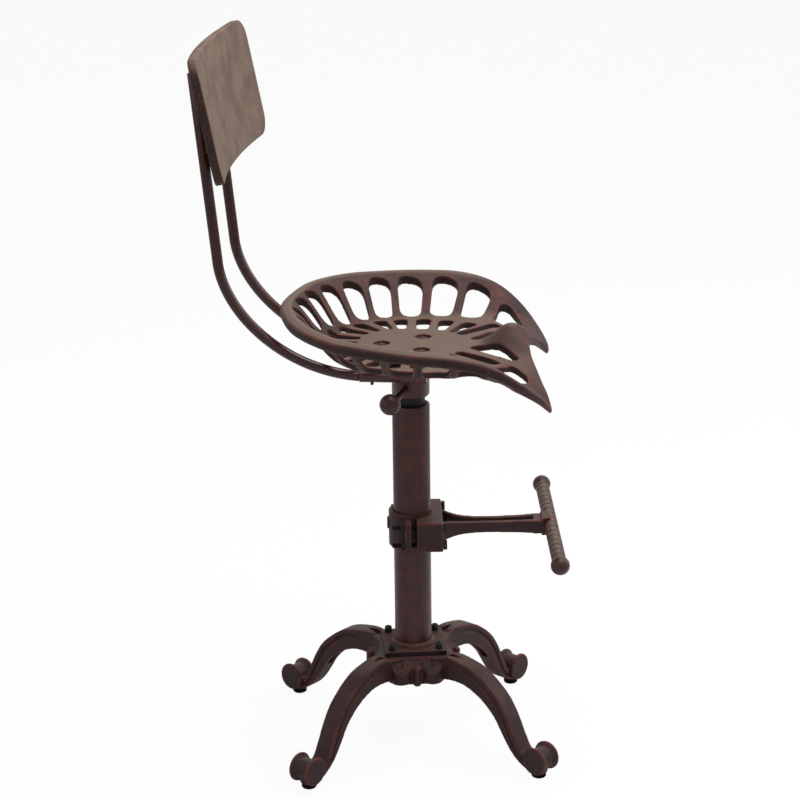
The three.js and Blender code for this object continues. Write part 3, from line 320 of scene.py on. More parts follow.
# Strength of a smoothing round; each casting's voxel size, smoothing rounds and share of faces kept
SMOOTH_SHARE = 0.5
BASE_CAST = (1.15, 3, 0.55)
SEAT_CAST = (1.45, 4, 0.5)
ARM_CAST = (0.95, 4, 0.6)

# Softened edges of the solids that are kept as they are
SOFTEN_SEGMENTS = 3
SOFTEN_ANGLE = 40
NUT_EDGE = 0.5
PLATE_EDGE = 0.9


# Curves and meshes

def rotated(x, y, degrees):
    turn = math.radians(degrees)
    return x * math.cos(turn) - y * math.sin(turn), x * math.sin(turn) + y * math.cos(turn)


def around(radius, count):
    """Points spread evenly on a circle."""
    angles = [2 * math.pi * k / count for k in range(count)]
    return [(radius * math.cos(angle), radius * math.sin(angle)) for angle in angles]


def scaled(shares, length, height):
    return [(a * length, b * height) for a, b in shares]


def smooth(value):
    t = min(max(value, 0), 1)
    return t * t * (3 - 2 * t)


def curve_through(points, steps, closed=False):
    """Centripetal Catmull-Rom curve through the points."""
    points = [Vector(p) for p in points]
    count = len(points)
    if closed:
        ends = [points[-1]] + points + points[:2]
        spans = count
    else:
        ends = [2 * points[0] - points[1]] + points + [2 * points[-1] - points[-2]]
        spans = count - 1
    line = []
    for i in range(spans):
        p = ends[i:i + 4]
        t = [0.0]
        for k in range(3):
            t.append(t[-1] + max((p[k + 1] - p[k]).length, 1e-6) ** 0.5)
        for step in range(steps):
            at = t[1] + (t[2] - t[1]) * step / steps
            a = [p[k] * ((t[k + 1] - at) / (t[k + 1] - t[k])) + p[k + 1] * ((at - t[k]) / (t[k + 1] - t[k]))
                 for k in range(3)]
            b = [a[k] * ((t[k + 2] - at) / (t[k + 2] - t[k])) + a[k + 1] * ((at - t[k]) / (t[k + 2] - t[k]))
                 for k in range(2)]
            line.append(b[0] * ((t[2] - at) / (t[2] - t[1])) + b[1] * ((at - t[1]) / (t[2] - t[1])))
    if not closed:
        line.append(points[-1])
    return line


def rounded(corners, radii, steps=8):
    """Closed outline with its corners rounded off by quadratic curves."""
    corners = [Vector(c) for c in corners]
    line = []
    for i, corner in enumerate(corners):
        back = corners[i - 1] - corner
        ahead = corners[(i + 1) % len(corners)] - corner
        reach = min(radii[i], back.length / 2, ahead.length / 2)
        start = corner + back.normalized() * reach
        end = corner + ahead.normalized() * reach
        for k in range(steps + 1):
            t = k / steps
            line.append(start * (1 - t) ** 2 + corner * (2 * t * (1 - t)) + end * t ** 2)
    return line


def as_given(x, y, z):
    return x, y, z


class Solid:
    """Closed shells gathered in one list of vertices and faces, in millimetres."""

    def __init__(self):
        self.vertices = []
        self.faces = []

    def add(self, vertices, faces):
        start = len(self.vertices)
        self.vertices += [tuple(v) for v in vertices]
        self.faces += [tuple(start + i for i in face) for face in faces]
        return self

    def join(self, other):
        return self.add(other.vertices, other.faces)

    def prism(self, outline, low, high, place=as_given):
        count = len(outline)
        vertices = [place(p[0], p[1], z) for z in (low, high) for p in outline]
        faces = [tuple(reversed(range(count))), tuple(range(count, 2 * count))]
        faces += [(i, (i + 1) % count, count + (i + 1) % count, count + i) for i in range(count)]
        return self.add(vertices, faces)

    def hoop(self, rows):
        """Closed rows of points, joined in a ring from the last back to the first."""
        wide = len(rows[0])
        faces = []
        for k in range(len(rows)):
            here = k * wide
            after = (k + 1) % len(rows) * wide
            for j in range(wide):
                up = (j + 1) % wide
                faces.append((here + j, after + j, after + up, here + up))
        return self.add([point for row in rows for point in row], faces)

    def ring(self, profile):
        """Turned piece round a bore; its profile of (radius, height) points is closed."""
        return self.hoop([[(r * x, r * y, z) for r, z in profile] for x, y in around(1, RING_SIDES)])

    def layered(self, tips, rows):
        """Closed rows of points, joined in turn, and the end rows to the two tips."""
        count = len(rows[0])
        last = 2 + (len(rows) - 1) * count
        faces = []
        for i in range(count):
            after = (i + 1) % count
            faces.append((0, 2 + after, 2 + i))
            faces.append((1, last + i, last + after))
            for j in range(len(rows) - 1):
                here = 2 + j * count
                faces.append((here + i, here + after, here + count + after, here + count + i))
        return self.add(tips + [point for row in rows for point in row], faces)

    def turned(self, profile, place=as_given, segments=48):
        """Profile points are (radius, height); the first and last lie on the axis."""
        tips = [place(0, 0, profile[0][1]), place(0, 0, profile[-1][1])]
        rows = [[place(x, y, z) for x, y in around(radius, segments)] for radius, z in profile[1:-1]]
        return self.layered(tips, rows)

    def tube(self, line, radius, sides):
        """Round bar along a line of points, with flat ends; a list gives each point its own radius."""
        line = [Vector(p) for p in line]
        count = len(line)
        ways = [(line[min(i + 1, count - 1)] - line[max(i - 1, 0)]).normalized() for i in range(count)]
        side = ways[0].orthogonal().normalized()
        vertices = []
        for i, point in enumerate(line):
            side = (side - ways[i] * side.dot(ways[i])).normalized()
            other = ways[i].cross(side)
            size = radius[i] if isinstance(radius, list) else radius
            vertices += [point + side * x + other * y for x, y in around(size, sides)]
        faces = [tuple(reversed(range(sides))), tuple(range((count - 1) * sides, count * sides))]
        for i in range(count - 1):
            for k in range(sides):
                after = (k + 1) % sides
                faces.append((i * sides + k, i * sides + after, (i + 1) * sides + after, (i + 1) * sides + k))
        return self.add(vertices, faces)

    def ball(self, centre, radius, segments=48, rings=28):
        profile = [(radius * math.sin(math.pi * j / rings), -radius * math.cos(math.pi * j / rings))
                   for j in range(rings + 1)]
        return self.turned(profile, lambda x, y, z: (centre[0] + x, centre[1] + y, centre[2] + z), segments)

    def turn(self, degrees):
        self.vertices = [(*rotated(x, y, degrees), z) for x, y, z in self.vertices]
        return self

    def copied(self, degrees):
        return Solid().join(self).turn(degrees)


def placed(name, data):
    """New object in the scene."""
    thing = bpy.data.objects.new(name, data)
    bpy.context.scene.collection.objects.link(thing)
    return thing


def made(name, solid, turn=0.0):
    """Object from a solid, turned about the column and moved onto its axis."""
    mesh = bpy.data.meshes.new(name)
    vertices = []
    for x, y, z in solid.vertices:
        x, y = rotated(x, y, turn)
        vertices.append((x * MM + AXIS_X, y * MM + AXIS_Y, z * MM))
    mesh.from_pydata(vertices, [], solid.faces)
    mesh.validate()
    shell = bmesh.new()
    shell.from_mesh(mesh)
    bmesh.ops.recalc_face_normals(shell, faces=shell.faces)
    shell.to_mesh(mesh)
    shell.free()
    return placed(name, mesh)


def settled(thing):
    """Applies the object's modifiers to its mesh."""
    graph = bpy.context.evaluated_depsgraph_get()
    mesh = bpy.data.meshes.new_from_object(thing.evaluated_get(graph))
    thing.modifiers.clear()
    thing.data = mesh
    return thing


def cut(thing, solids, turn):
    """Takes each solid, turned about the column, away from the object."""
    cutters = [made("cutter", solid, turn) for solid in solids]
    for cutter in cutters:
        modifier = thing.modifiers.new("cut", "BOOLEAN")
        modifier.operation = "DIFFERENCE"
        modifier.solver = "MANIFOLD"
        modifier.object = cutter
    settled(thing)
    for cutter in cutters:
        bpy.data.objects.remove(cutter)
    return thing


def cast(thing, voxel, rounds=0, keep=1):
    """Joins the object's shells and, with some rounds, gives it the soft edges of a casting."""
    remesh = thing.modifiers.new("remesh", "REMESH")
    remesh.mode = "VOXEL"
    remesh.voxel_size = voxel * MM
    soften = thing.modifiers.new("soften", "SMOOTH")
    soften.factor = SMOOTH_SHARE
    soften.iterations = rounds
    if keep < 1:
        thin = thing.modifiers.new("thin", "DECIMATE")
        thin.ratio = keep
    return shade_smooth(settled(thing))


def shade_smooth(thing):
    thing.data.polygons.foreach_set("use_smooth", [True] * len(thing.data.polygons))
    thing.data.update()
    return thing


# Materials

def linear(*rgb):
    """Linear colour from levels of 0 to 255."""
    return tuple(((c / 255 + 0.055) / 1.055) ** 2.4 if c > 10 else c / 255 / 12.92 for c in rgb) + (1.0,)


WHITE = (1, 1, 1, 1)


def filled(node, **values):
    """Sets the node's inputs; an underscore stands for the space in an input's name."""
    for name, value in values.items():
        node.inputs[name.replace("_", " ")].default_value = value
    return node


# Scales, ranges and shares that all paints share
BLOTCH_SCALE_SHARE = 2.3
FINE_SCALE = 240
BROAD_RANGE = (0.38, 0.62)
BLUSH_RANGE = (0.52, 0.72)
# Strength of the painted shade on the faces turned away from a paint's facing way
PAINTED_SHADE_SHARE = 0.85
# Facing range that takes the lighter colour: dust together with painted light
DUST_AND_LIGHT_RANGE = (0.9, 1)
SPECKLE_RANGE = (0.54, 0.72)
SPECKLE_SHARE = 0.3
EDGE_RANGE = (0.508, 0.545)
RUBBED_RANGE = (0.36, 0.62)
RUBBED_LEAST_SHARE = 0.15
BUMP_STRENGTH = 0.15
BUMP_HEIGHT = 0.6


def aged_bronze(name, dark, body, dust_and_light, red, wear=0.5, patch_scale=22, blush=0.25, dust_and_light_share=0.75,
                painted_shade=None, facing=(0, 0, 1), painted_shade_range=(0.8, 0.25), shine=0.2, gloss=(0.45, 0.68)):
    """Brown-black metal paint: reddish blushes, dust and painted light on the faces turned the given way
    and painted shade on the others, rubbed red on its edges."""
    material = bpy.data.materials.new(name)
    material.use_nodes = True
    nodes = material.node_tree.nodes
    links = material.node_tree.links
    shader = filled(nodes["Principled BSDF"], Specular_IOR_Level=shine)

    def noise(scale, detail, roughness=0.5):
        node = filled(nodes.new("ShaderNodeTexNoise"), Scale=scale, Detail=detail, Roughness=roughness)
        links.new(place.outputs["Object"], node.inputs["Vector"])
        return node.outputs["Fac"]

    def ranged(value, low, high, start=0.0, end=1.0):
        node = filled(nodes.new("ShaderNodeMapRange"), From_Min=low, From_Max=high, To_Min=start, To_Max=end)
        links.new(value, node.inputs["Value"])
        return node.outputs["Result"]

    def product(one, other):
        node = nodes.new("ShaderNodeMath")
        node.operation = "MULTIPLY"
        links.new(one, node.inputs[0])
        links.new(other, node.inputs[1])
        return node.outputs["Value"]

    def blended(share, under, over):
        node = nodes.new("ShaderNodeMix")
        node.data_type = "RGBA"
        links.new(share, node.inputs["Factor"])
        if isinstance(under, tuple):
            node.inputs["A"].default_value = under
        else:
            links.new(under, node.inputs["A"])
        node.inputs["B"].default_value = linear(*over)
        return node.outputs["Result"]

    place = nodes.new("ShaderNodeTexCoord")
    broad = noise(patch_scale, 6, 0.6)
    blotch = noise(patch_scale * BLOTCH_SCALE_SHARE, 4)
    fine = noise(FINE_SCALE, 4, 0.65)
    shape = nodes.new("ShaderNodeNewGeometry")
    turned = nodes.new("ShaderNodeVectorMath")
    turned.operation = "DOT_PRODUCT"
    turned.inputs[1].default_value = facing
    links.new(place.outputs["Normal"], turned.inputs[0])
    toward = turned.outputs["Value"]

    colour = blended(ranged(broad, *BROAD_RANGE), linear(*dark), body)
    colour = blended(ranged(blotch, *BLUSH_RANGE, 0, blush), colour, red)
    # Painted shade: a darker colour on the faces turned away from the facing way
    colour = blended(ranged(toward, *painted_shade_range, 0, PAINTED_SHADE_SHARE), colour, painted_shade or dark)
    # Dust and painted light: a lighter colour on the faces turned the facing way, upward unless given
    colour = blended(ranged(toward, *DUST_AND_LIGHT_RANGE, 0, dust_and_light_share), colour, dust_and_light)
    # Random fine speckles of the same lighter colour, as dust
    colour = blended(ranged(fine, *SPECKLE_RANGE, 0, SPECKLE_SHARE), colour, dust_and_light)
    edge = ranged(shape.outputs["Pointiness"], *EDGE_RANGE)
    rubbed = product(edge, ranged(blotch, *RUBBED_RANGE, RUBBED_LEAST_SHARE * wear, wear))
    links.new(blended(rubbed, colour, red), shader.inputs["Base Color"])

    links.new(ranged(fine, 0, 1, *gloss), shader.inputs["Roughness"])
    bump = filled(nodes.new("ShaderNodeBump"), Strength=BUMP_STRENGTH, Distance=BUMP_HEIGHT * MM)
    links.new(fine, bump.inputs["Height"])
    links.new(bump.outputs["Normal"], shader.inputs["Normal"])
    return material


# In each paint below, the darker colour for faces turned away is painted shade, and the lighter colour for
# faces turned the facing way is dust with painted light
CASTING = aged_bronze("casting", dark=(38, 22, 22), body=(58, 35, 34), dust_and_light=(84, 68, 59), red=(126, 54, 48),
                      wear=0.8, dust_and_light_share=0.6, painted_shade=(46, 28, 28))
SEAT = aged_bronze("seat casting", dark=(42, 25, 23), body=(66, 41, 37), dust_and_light=(103, 85, 73),
                   red=(122, 60, 52), wear=0.8, patch_scale=16, painted_shade=(32, 20, 19))
TUBE = aged_bronze("tube", dark=(42, 22, 21), body=(60, 34, 32), dust_and_light=(74, 50, 45), red=(90, 42, 37),
                   wear=0.4, patch_scale=30, blush=0.03, painted_shade=(50, 31, 29), shine=0.25, gloss=(0.3, 0.44))
ROD = aged_bronze("rod", dark=(54, 24, 22), body=(78, 34, 30), dust_and_light=(92, 48, 42), red=(108, 44, 37),
                  wear=0.3, patch_scale=30, blush=0.06, painted_shade=(38, 18, 16), shine=0.35, gloss=(0.2, 0.32))
# The plates' sides take near-black painted shade
FLAT = aged_bronze("flat plate", dark=(38, 24, 22), body=(62, 42, 38), dust_and_light=(84, 64, 57), red=(104, 52, 46),
                   wear=0.1, patch_scale=30, blush=0.1, painted_shade=(14, 11, 11), shine=0.1)
BEAD = aged_bronze("weld bead", dark=(62, 40, 37), body=(84, 56, 51), dust_and_light=(96, 70, 63), red=(108, 58, 52),
                   wear=0.2, patch_scale=60)
# The backrest's end faces and back take painted shade, and its front and top take some dust and painted light
PLATE = aged_bronze("plate", dark=(80, 63, 54), body=(108, 90, 78), dust_and_light=(120, 103, 90), red=(108, 64, 54),
                    wear=0.3, patch_scale=26, blush=0.12, dust_and_light_share=0.25, painted_shade=(34, 25, 25), facing=(1, 0, 1),
                    painted_shade_range=(0.75, 0.45), shine=0.1)
# Lighter paint for the ribbed crossbar: its dust and the painted light from above in one colour
BAR_DUST_AND_LIGHT = aged_bronze("dust_and_light", dark=(56, 40, 36), body=(84, 65, 58), dust_and_light=(108, 89, 78), red=(112, 56, 48),
                    wear=0.3, patch_scale=40, blush=0.15, painted_shade=(56, 40, 36))
STEEL = aged_bronze("black steel", dark=(12, 12, 13), body=(19, 19, 20), dust_and_light=(32, 30, 29), red=(46, 34, 32),
                    wear=0.3, patch_scale=60, blush=0.05)
RUBBER = aged_bronze("rubber", dark=(14, 14, 14), body=(20, 19, 19), dust_and_light=(28, 27, 26), red=(26, 24, 24),
                     wear=0.1, patch_scale=60, blush=0.05, shine=0.06, gloss=(0.75, 0.9))


def dressed(thing, material):
    thing.data.materials.clear()
    thing.data.materials.append(material)


def stands_for(thing, nodes, body, material):
    """The object rides on the body in place of the named solids."""
    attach(thing, body)
    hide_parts(*nodes)
    dressed(thing, material)


def piece(name, solid, body, material, nodes, turn=0.0, sharp=38):
    """Smooth-shaded object that stands for the named solids."""
    thing = shade_smooth(made(name, solid, turn))
    thing.data.set_sharp_from_angle(angle=math.radians(sharp))
    stands_for(thing, nodes, body, material)


def soften(node, width):
    """Rounds the edges of a solid that is kept as it is."""
    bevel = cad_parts[node].modifiers.new("soften", "BEVEL")
    bevel.width = width * MM
    bevel.segments = SOFTEN_SEGMENTS
    bevel.limit_method = "ANGLE"
    bevel.angle_limit = math.radians(SOFTEN_ANGLE)


# Base casting

def leg_lines():
    top = curve_through(scaled(LEG_TOP_SHARES, LEG_SPREAD, HUB_TOP), LEG_STEPS)
    under = curve_through(scaled(LEG_UNDER_SHARES, LEG_SPREAD, HUB_TOP), LEG_STEPS)
    return top, under


def across(solid, outline, width):
    """Prism whose outline lies in the upright plane along X."""
    return solid.prism(outline, -width / 2, width / 2, lambda x, y, z: (x, -z, y))


def inset(line, depth):
    moved = []
    for i, point in enumerate(line):
        way = (line[min(i + 1, len(line) - 1)] - line[max(i - 1, 0)]).normalized()
        moved.append(Vector((point.x + way.y * depth, point.y - way.x * depth)))
    return moved


def leg_solid():
    """Leg along +X: a neck, a wider foot below the groove and a wider cap above it, and the scroll."""
    top, under = leg_lines()
    leg = Solid()
    across(leg, inset(top, LEG_NECK_SINK) + under[::-1], LEG_NECK_WIDTH)
    across(leg, inset(top, LEG_GROOVE_DEPTH)[:-LEG_TOE_POINTS] + under[::-1], LEG_WIDTH)
    cap = top[:-LEG_TOE_POINTS]
    across(leg, cap + inset(cap, LEG_CAP_DEPTH)[::-1], LEG_CAP_WIDTH)
    half = SCROLL_WIDTH / 2
    flank, flare, waist = (SCROLL_RIM * share for share in SCROLL_RIM_SHARES)
    side = [(0, 0), (SCROLL_RADIUS - SCROLL_EDGE, 0), (SCROLL_RADIUS - SCROLL_BEND, SCROLL_BEND),
            (SCROLL_RADIUS, SCROLL_EDGE), (SCROLL_RADIUS, flank), (SCROLL_WAIST + SCROLL_FLARE, flare),
            (SCROLL_WAIST, waist)]
    profile = [(radius, depth - half) for radius, depth in side]
    profile += [(radius, half - depth) for radius, depth in reversed(side)]
    middle = PAD_HEIGHT + SCROLL_RADIUS
    leg.turned(profile, lambda x, y, z: (x + SCROLL_REACH, z, y + middle))
    seat = [(0, PAD_HEIGHT), (PAD_SEAT_RADIUS, PAD_HEIGHT), (PAD_SEAT_RADIUS, middle), (0, middle)]
    return leg.turned(seat, lambda x, y, z: (x + PAD_REACH, y, z))


def leg_channel():
    """The hollow along the leg's under side."""
    top = leg_lines()[0]
    roof = inset(top, LEG_ROOF)[:int(len(top) * LEG_CHANNEL_SHARE)]
    below = roof[-1] - Vector((LEG_CAP_WIDTH, LEG_CAP_WIDTH / 2))
    foot = Vector((LEG_START, HUB_BOTTOM - OVERRUN))
    return across(Solid(), [Vector((LEG_START, roof[0].y))] + roof + [below, foot], LEG_CHANNEL)


def leg_pocket():
    """Three-cornered hollow in the leg's top, where it leaves the hub."""
    outline = [(LEG_POCKET_NEAR, -LEG_POCKET_HALF), (LEG_POCKET_NEAR, LEG_POCKET_HALF), (LEG_POCKET_FAR, 0)]
    return Solid().prism(outline, HUB_TOP - LEG_POCKET_DEPTH, HUB_TOP + OVERRUN)


def plate_screw_hole():
    low = HUB_TOP - HUB_ROOF - OVERRUN
    high = HUB_TOP + OVERRUN
    profile = [(0, low), (PLATE_SCREW_HOLE, low), (PLATE_SCREW_HOLE, high), (0, high)]
    return Solid().turned(profile, lambda x, y, z: (x + PLATE_SCREW_PLACE, y + PLATE_SCREW_PLACE, z), 16)


def star_outline():
    """Top of the hub: a square that runs out into the four legs by concave curves."""
    half = HUB_TOP_HALF
    stub = LEG_CAP_WIDTH / 2 * math.sqrt(2)
    near = STAR_REACH - stub / 2
    far = STAR_REACH + stub / 2
    quarter = [(half, -(half - stub)), (half, half - stub), (far, near), (near, far)]
    corners = [rotated(*point, 90 * turns) for turns in range(4) for point in quarter]
    return rounded(corners, [STAR_HOLLOW, STAR_HOLLOW, STAR_CORNER, STAR_CORNER] * 4, 10)


def slope_at(x):
    span = LOBE_SET + LOBE_RADIUS - HUB_TOP_HALF
    return APRON_SLOPE_HIGH + (APRON_SLOPE_LOW - APRON_SLOPE_HIGH) * (x - HUB_TOP_HALF) / span


def apron_solid():
    """Two lobes, the web between them and the pillar in front, under one slope."""
    def onto_slope(sink):
        return lambda x, y, z: (x, y, slope_at(x) - sink if z == HUB_TOP else z)

    apron = Solid()
    for side in (-1, 1):
        lobe = [(LOBE_SET + x, side * LOBE_OFFSET + y) for x, y in around(LOBE_RADIUS, 40)]
        apron.prism(lobe, LOBE_LOW, HUB_TOP, onto_slope(0))
    root = (HUB_TOP_HALF - WEB_ROOT, LOBE_OFFSET + WEB_ROOT_SIDE)
    edge = (LOBE_SET + WEB_EDGE, LOBE_OFFSET + WEB_EDGE_SIDE)
    web = [(root[0], -root[1]), (edge[0], -edge[1]), (LOBE_SET + WEB_NOSE, 0), edge, root]
    apron.prism(web, HUB_BOTTOM, HUB_TOP, onto_slope(WEB_SINK))
    out = LOBE_SET + LOBE_RADIUS - PILLAR_RADIUS
    pillar = [(0, HUB_BOTTOM), (PILLAR_RADIUS, HUB_BOTTOM), (PILLAR_RADIUS * PILLAR_TAPER_SHARE, PILLAR_TOP),
              (0, PILLAR_TOP)]
    apron.turned(pillar, lambda x, y, z: (x + out, y, z), 20)
    return apron.ball((out, 0, PILLAR_TOP), PILLAR_RADIUS * PILLAR_BALL_SHARE, 20, 12)


def curl_lines():
    """Curls cut into the sloping tops of the eight lobes."""
    curls = Solid()
    for side in (-1, 1):
        line = []
        for k in range(CURL_STEPS + 1):
            t = k / CURL_STEPS
            angle = math.radians(CURL_START + CURL_SWEEP * t)
            radius = CURL_RADIUS * (1 - CURL_TIGHTER_SHARE * t)
            x = LOBE_SET + CURL_AHEAD - radius * math.sin(angle)
            y = side * (LOBE_OFFSET + CURL_ASIDE + radius * math.cos(angle))
            line.append((x, y, slope_at(x)))
        curls.tube(line, CURL_LINE, 8)
    whole = Solid()
    for quarter in range(4):
        whole.join(curls.copied(90 * quarter))
    return whole


def octagon(half, corner):
    c = half - corner
    return [(half, -c), (half, c), (c, half), (-c, half), (-half, c), (-half, -c), (-c, -half), (c, -half)]


def base_casting():
    whole = Solid()
    whole.prism(octagon(HUB_HALF, HUB_CORNER), HUB_BOTTOM, HUB_SHOULDER)
    square = [(HUB_HALF * sx, HUB_HALF * sy) for sx, sy in [(1, -1), (1, 1), (-1, 1), (-1, -1)]]
    share = HUB_TOP_HALF / HUB_HALF
    whole.prism(square, HUB_SHOULDER, HUB_TOP,
                lambda x, y, z: (x, y, z) if z < HUB_TOP else (x * share, y * share, z))
    whole.prism(star_outline(), HUB_TOP - STAR_DEPTH, HUB_TOP - STAR_SINK)
    leg = leg_solid().turn(LEG_TURN)
    apron = apron_solid()
    for quarter in range(4):
        for part in (leg, apron):
            whole.join(part.copied(90 * quarter))
    body = cast(made("casting_base", whole, BASE_TURN), BASE_CAST[0])
    inner = octagon(HUB_HALF - HUB_WALL, CAVITY_CORNER)
    hollows = [Solid().prism(inner, HUB_BOTTOM - OVERRUN, HUB_TOP - HUB_ROOF)]
    for quarter in range(4):
        hollows += [leg_channel().turn(LEG_TURN + 90 * quarter), leg_pocket().turn(LEG_TURN + 90 * quarter),
                    plate_screw_hole().turn(90 * quarter)]
    cut(body, hollows, BASE_TURN)
    cast(body, *BASE_CAST)
    shade_smooth(cut(body, [curl_lines()], BASE_TURN))
    stands_for(body, ["base_casting"], "base", CASTING)


# Seat casting

def rim_roll(edge):
    """The raised part of the rim turns down outside its crest."""
    return RIM_ROLL * max(0, edge[2]) / SEAT_RISE


def seat_point(edge, share):
    """Point of the seat's top, at a share of the way from its middle to the edge."""
    x = edge[0] * share
    y = edge[1] * share
    climb = smooth((share - FLAT_SHARE) / (RIM_SHARE - FLAT_SHARE))
    if edge[2] <= 0:
        climb = max(0, (share - FLAT_SHARE) / (1 - FLAT_SHARE)) ** DROOP_POWER
    hump = POMMEL_RISE * math.exp(-((x - POMMEL_FORWARD) / POMMEL_LENGTH) ** 2 - (y / POMMEL_WIDTH) ** 2)
    roll = (RIM_DROP + rim_roll(edge)) * smooth((share - RIM_SHARE) / (1 - RIM_SHARE))
    return x, y, SEAT_FLOOR + edge[2] * climb + hump - roll


def rim_thickness(edge):
    fall = min(max(-edge[2] / SEAT_RISE, 0), 1)
    return SEAT_EDGE_THICKNESS + (SEAT_TIP_THICKNESS - SEAT_EDGE_THICKNESS) * fall - rim_roll(edge)


def seat_thickness(edge, share):
    steep = smooth((share - FLAT_SHARE) / (1 - FLAT_SHARE))
    inner, outer = SEAT_BOSS_SHARES
    boss = 1 - smooth((share - inner) / (outer - inner))
    pan = SEAT_PAN_THICKNESS + (SEAT_THICKNESS - SEAT_PAN_THICKNESS) * boss
    return pan + (rim_thickness(edge) - pan) * steep


def seat_edge():
    """Closed line of the rim: one half of it from its shares, and the mirrored half."""
    shares = SEAT_EDGE_SHARES + [SEAT_FRONT_SHARES]
    at = [(a * SEAT_LENGTH, b * SEAT_HALF_WIDTH, c * SEAT_RISE) for a, b, c in shares]
    mirror = [(x, -y, z) for x, y, z in at[1:-1]][::-1]
    return curve_through(at + mirror, SEAT_EDGE_STEPS, True)


def seat_lip(rim, angle):
    """Row of the rim's round outer side, at an angle from its top edge."""
    row = []
    for edge in rim:
        out = Vector((edge.x, edge.y)).normalized() * (SEAT_EDGE_BULGE * math.sin(angle))
        x, y, z = seat_point(edge, 1)
        row.append((x + out.x, y + out.y, z - rim_thickness(edge) / 2 * (1 - math.cos(angle))))
    return row


def seat_under(rim, share):
    row = []
    for edge in rim:
        x, y, z = seat_point(edge, share)
        row.append((x, y, z - seat_thickness(edge, share)))
    return row


def seat_pan():
    rim = seat_edge()
    shares = [SEAT_CORE_SHARE + (1 - SEAT_CORE_SHARE) * k / SEAT_ROWS for k in range(SEAT_ROWS + 1)]
    rows = [[seat_point(edge, share) for edge in rim] for share in shares]
    rows += [seat_lip(rim, math.pi * step / SEAT_LIP_STEPS) for step in range(1, SEAT_LIP_STEPS)]
    rows += [seat_under(rim, share) for share in reversed(shares)]
    return Solid().layered([(0, 0, SEAT_FLOOR), (0, 0, SEAT_FLOOR - SEAT_THICKNESS)], rows)


def plan(ahead, aside):
    return Vector((ahead * SEAT_LENGTH, aside * SEAT_HALF_WIDTH))


def slot_corners(outer, outer_half, inner, inner_half):
    way = (inner - outer).normalized()
    side = Vector((-way.y, way.x))
    return [outer + side * outer_half, inner + side * inner_half, inner - side * inner_half,
            outer - side * outer_half]


def ring_slots(shares, round_shares):
    """Slots side by side, each as wide as the room between its neighbours allows."""
    ends = [(plan(a, b), plan(c, d)) for a, b, c, d in shares]
    slots = []
    for i, pair in enumerate(ends):
        halves = []
        for k in (0, 1):
            spans = []
            if i > 0:
                spans.append((pair[k] - ends[i - 1][k]).length)
            if i < len(ends) - 1:
                spans.append((pair[k] - ends[i + 1][k]).length)
            elif pair[k].y > 0:
                spans.append(2 * pair[k].y)
            halves.append((sum(spans) / len(spans) - SLOT_RIB) / 2)
        corners = slot_corners(pair[0], halves[0], pair[1], halves[1])
        outer, inner = (half * share for half, share in zip(halves, round_shares))
        slots.append(rounded(corners, [outer, inner, inner, outer]))
    return slots


def screw_recess(angle, low, high):
    """Through hole for a seat screw, with the wide recess for its head."""
    x, y = rotated(SEAT_SCREW_CIRCLE / 2, 0, angle)
    floor = SEAT_FLOOR - SEAT_RECESS_DEPTH
    profile = [(0, low), (SEAT_HOLE / 2, low), (SEAT_HOLE / 2, floor), (SEAT_RECESS / 2, floor),
               (SEAT_RECESS / 2, high), (0, high)]
    return Solid().turned(profile, lambda a, b, z: (a + x - SEAT_SCREW_BACK, b + y, z), 32)


def seat_cutters():
    low = SEAT_FLOOR - SEAT_RISE - 2 * SEAT_THICKNESS
    high = SEAT_FLOOR + 2 * SEAT_RISE
    inner = ring_slots(INNER_SLOT_SHARES, INNER_ROUND_SHARES)
    rear = inner.pop()
    half = ring_slots(OUTER_SLOT_SHARES, OUTER_ROUND_SHARES) + inner
    for shares in (FRONT_SLOT_SHARES, LOBE_SLOT_SHARES):
        half.append(rounded([plan(a, b) for a, b in shares], [SLOT_CORNER] * len(shares)))
    outer_end, inner_end = (plan(a, b) for a, b in LONG_SLOT_SHARES)
    long = slot_corners(outer_end, LONG_SLOT_HALVES[0], inner_end, LONG_SLOT_HALVES[1])
    half.append(rounded(long, [LONG_SLOT_CORNER] * 4))
    cutters = [Solid().prism(rear, low, high)]
    for outline in half:
        cutters.append(Solid().prism(outline, low, high))
        cutters.append(Solid().prism([(p.x, -p.y) for p in outline][::-1], low, high))
    return cutters + [screw_recess(angle, low, high) for angle in SEAT_SCREW_ANGLES]


def seat_casting():
    seat = made("casting_seat", seat_pan(), SEAT_TURN)
    cut(seat, seat_cutters(), SEAT_TURN)
    cast(seat, *SEAT_CAST)
    stands_for(seat, ["seat_casting"], "seat", SEAT)


# Backrest plate

def back_place(s, h, d):
    """Place on the bent, leaning plate: s along its bend, h up it and d behind its front."""
    angle = s / BACK_RADIUS
    lean = math.radians(BACK_LEAN)
    reach = BACK_RADIUS + d
    ahead = BACK_RADIUS - reach * math.cos(angle)
    x = ahead * math.cos(lean) - h * math.sin(lean)
    z = ahead * math.sin(lean) + h * math.cos(lean)
    return -BACK_SET + x, reach * math.sin(angle), BACK_MIDDLE + z


def back_spread(h, edge):
    """Half of the plate's width at a height, inside its round corners."""
    corner = BACK_CORNER - edge
    beyond = max(0, abs(h) - (BACK_HEIGHT / 2 - edge - corner))
    return BACK_WIDTH / 2 - edge - corner + math.sqrt(max(0, corner ** 2 - beyond ** 2))


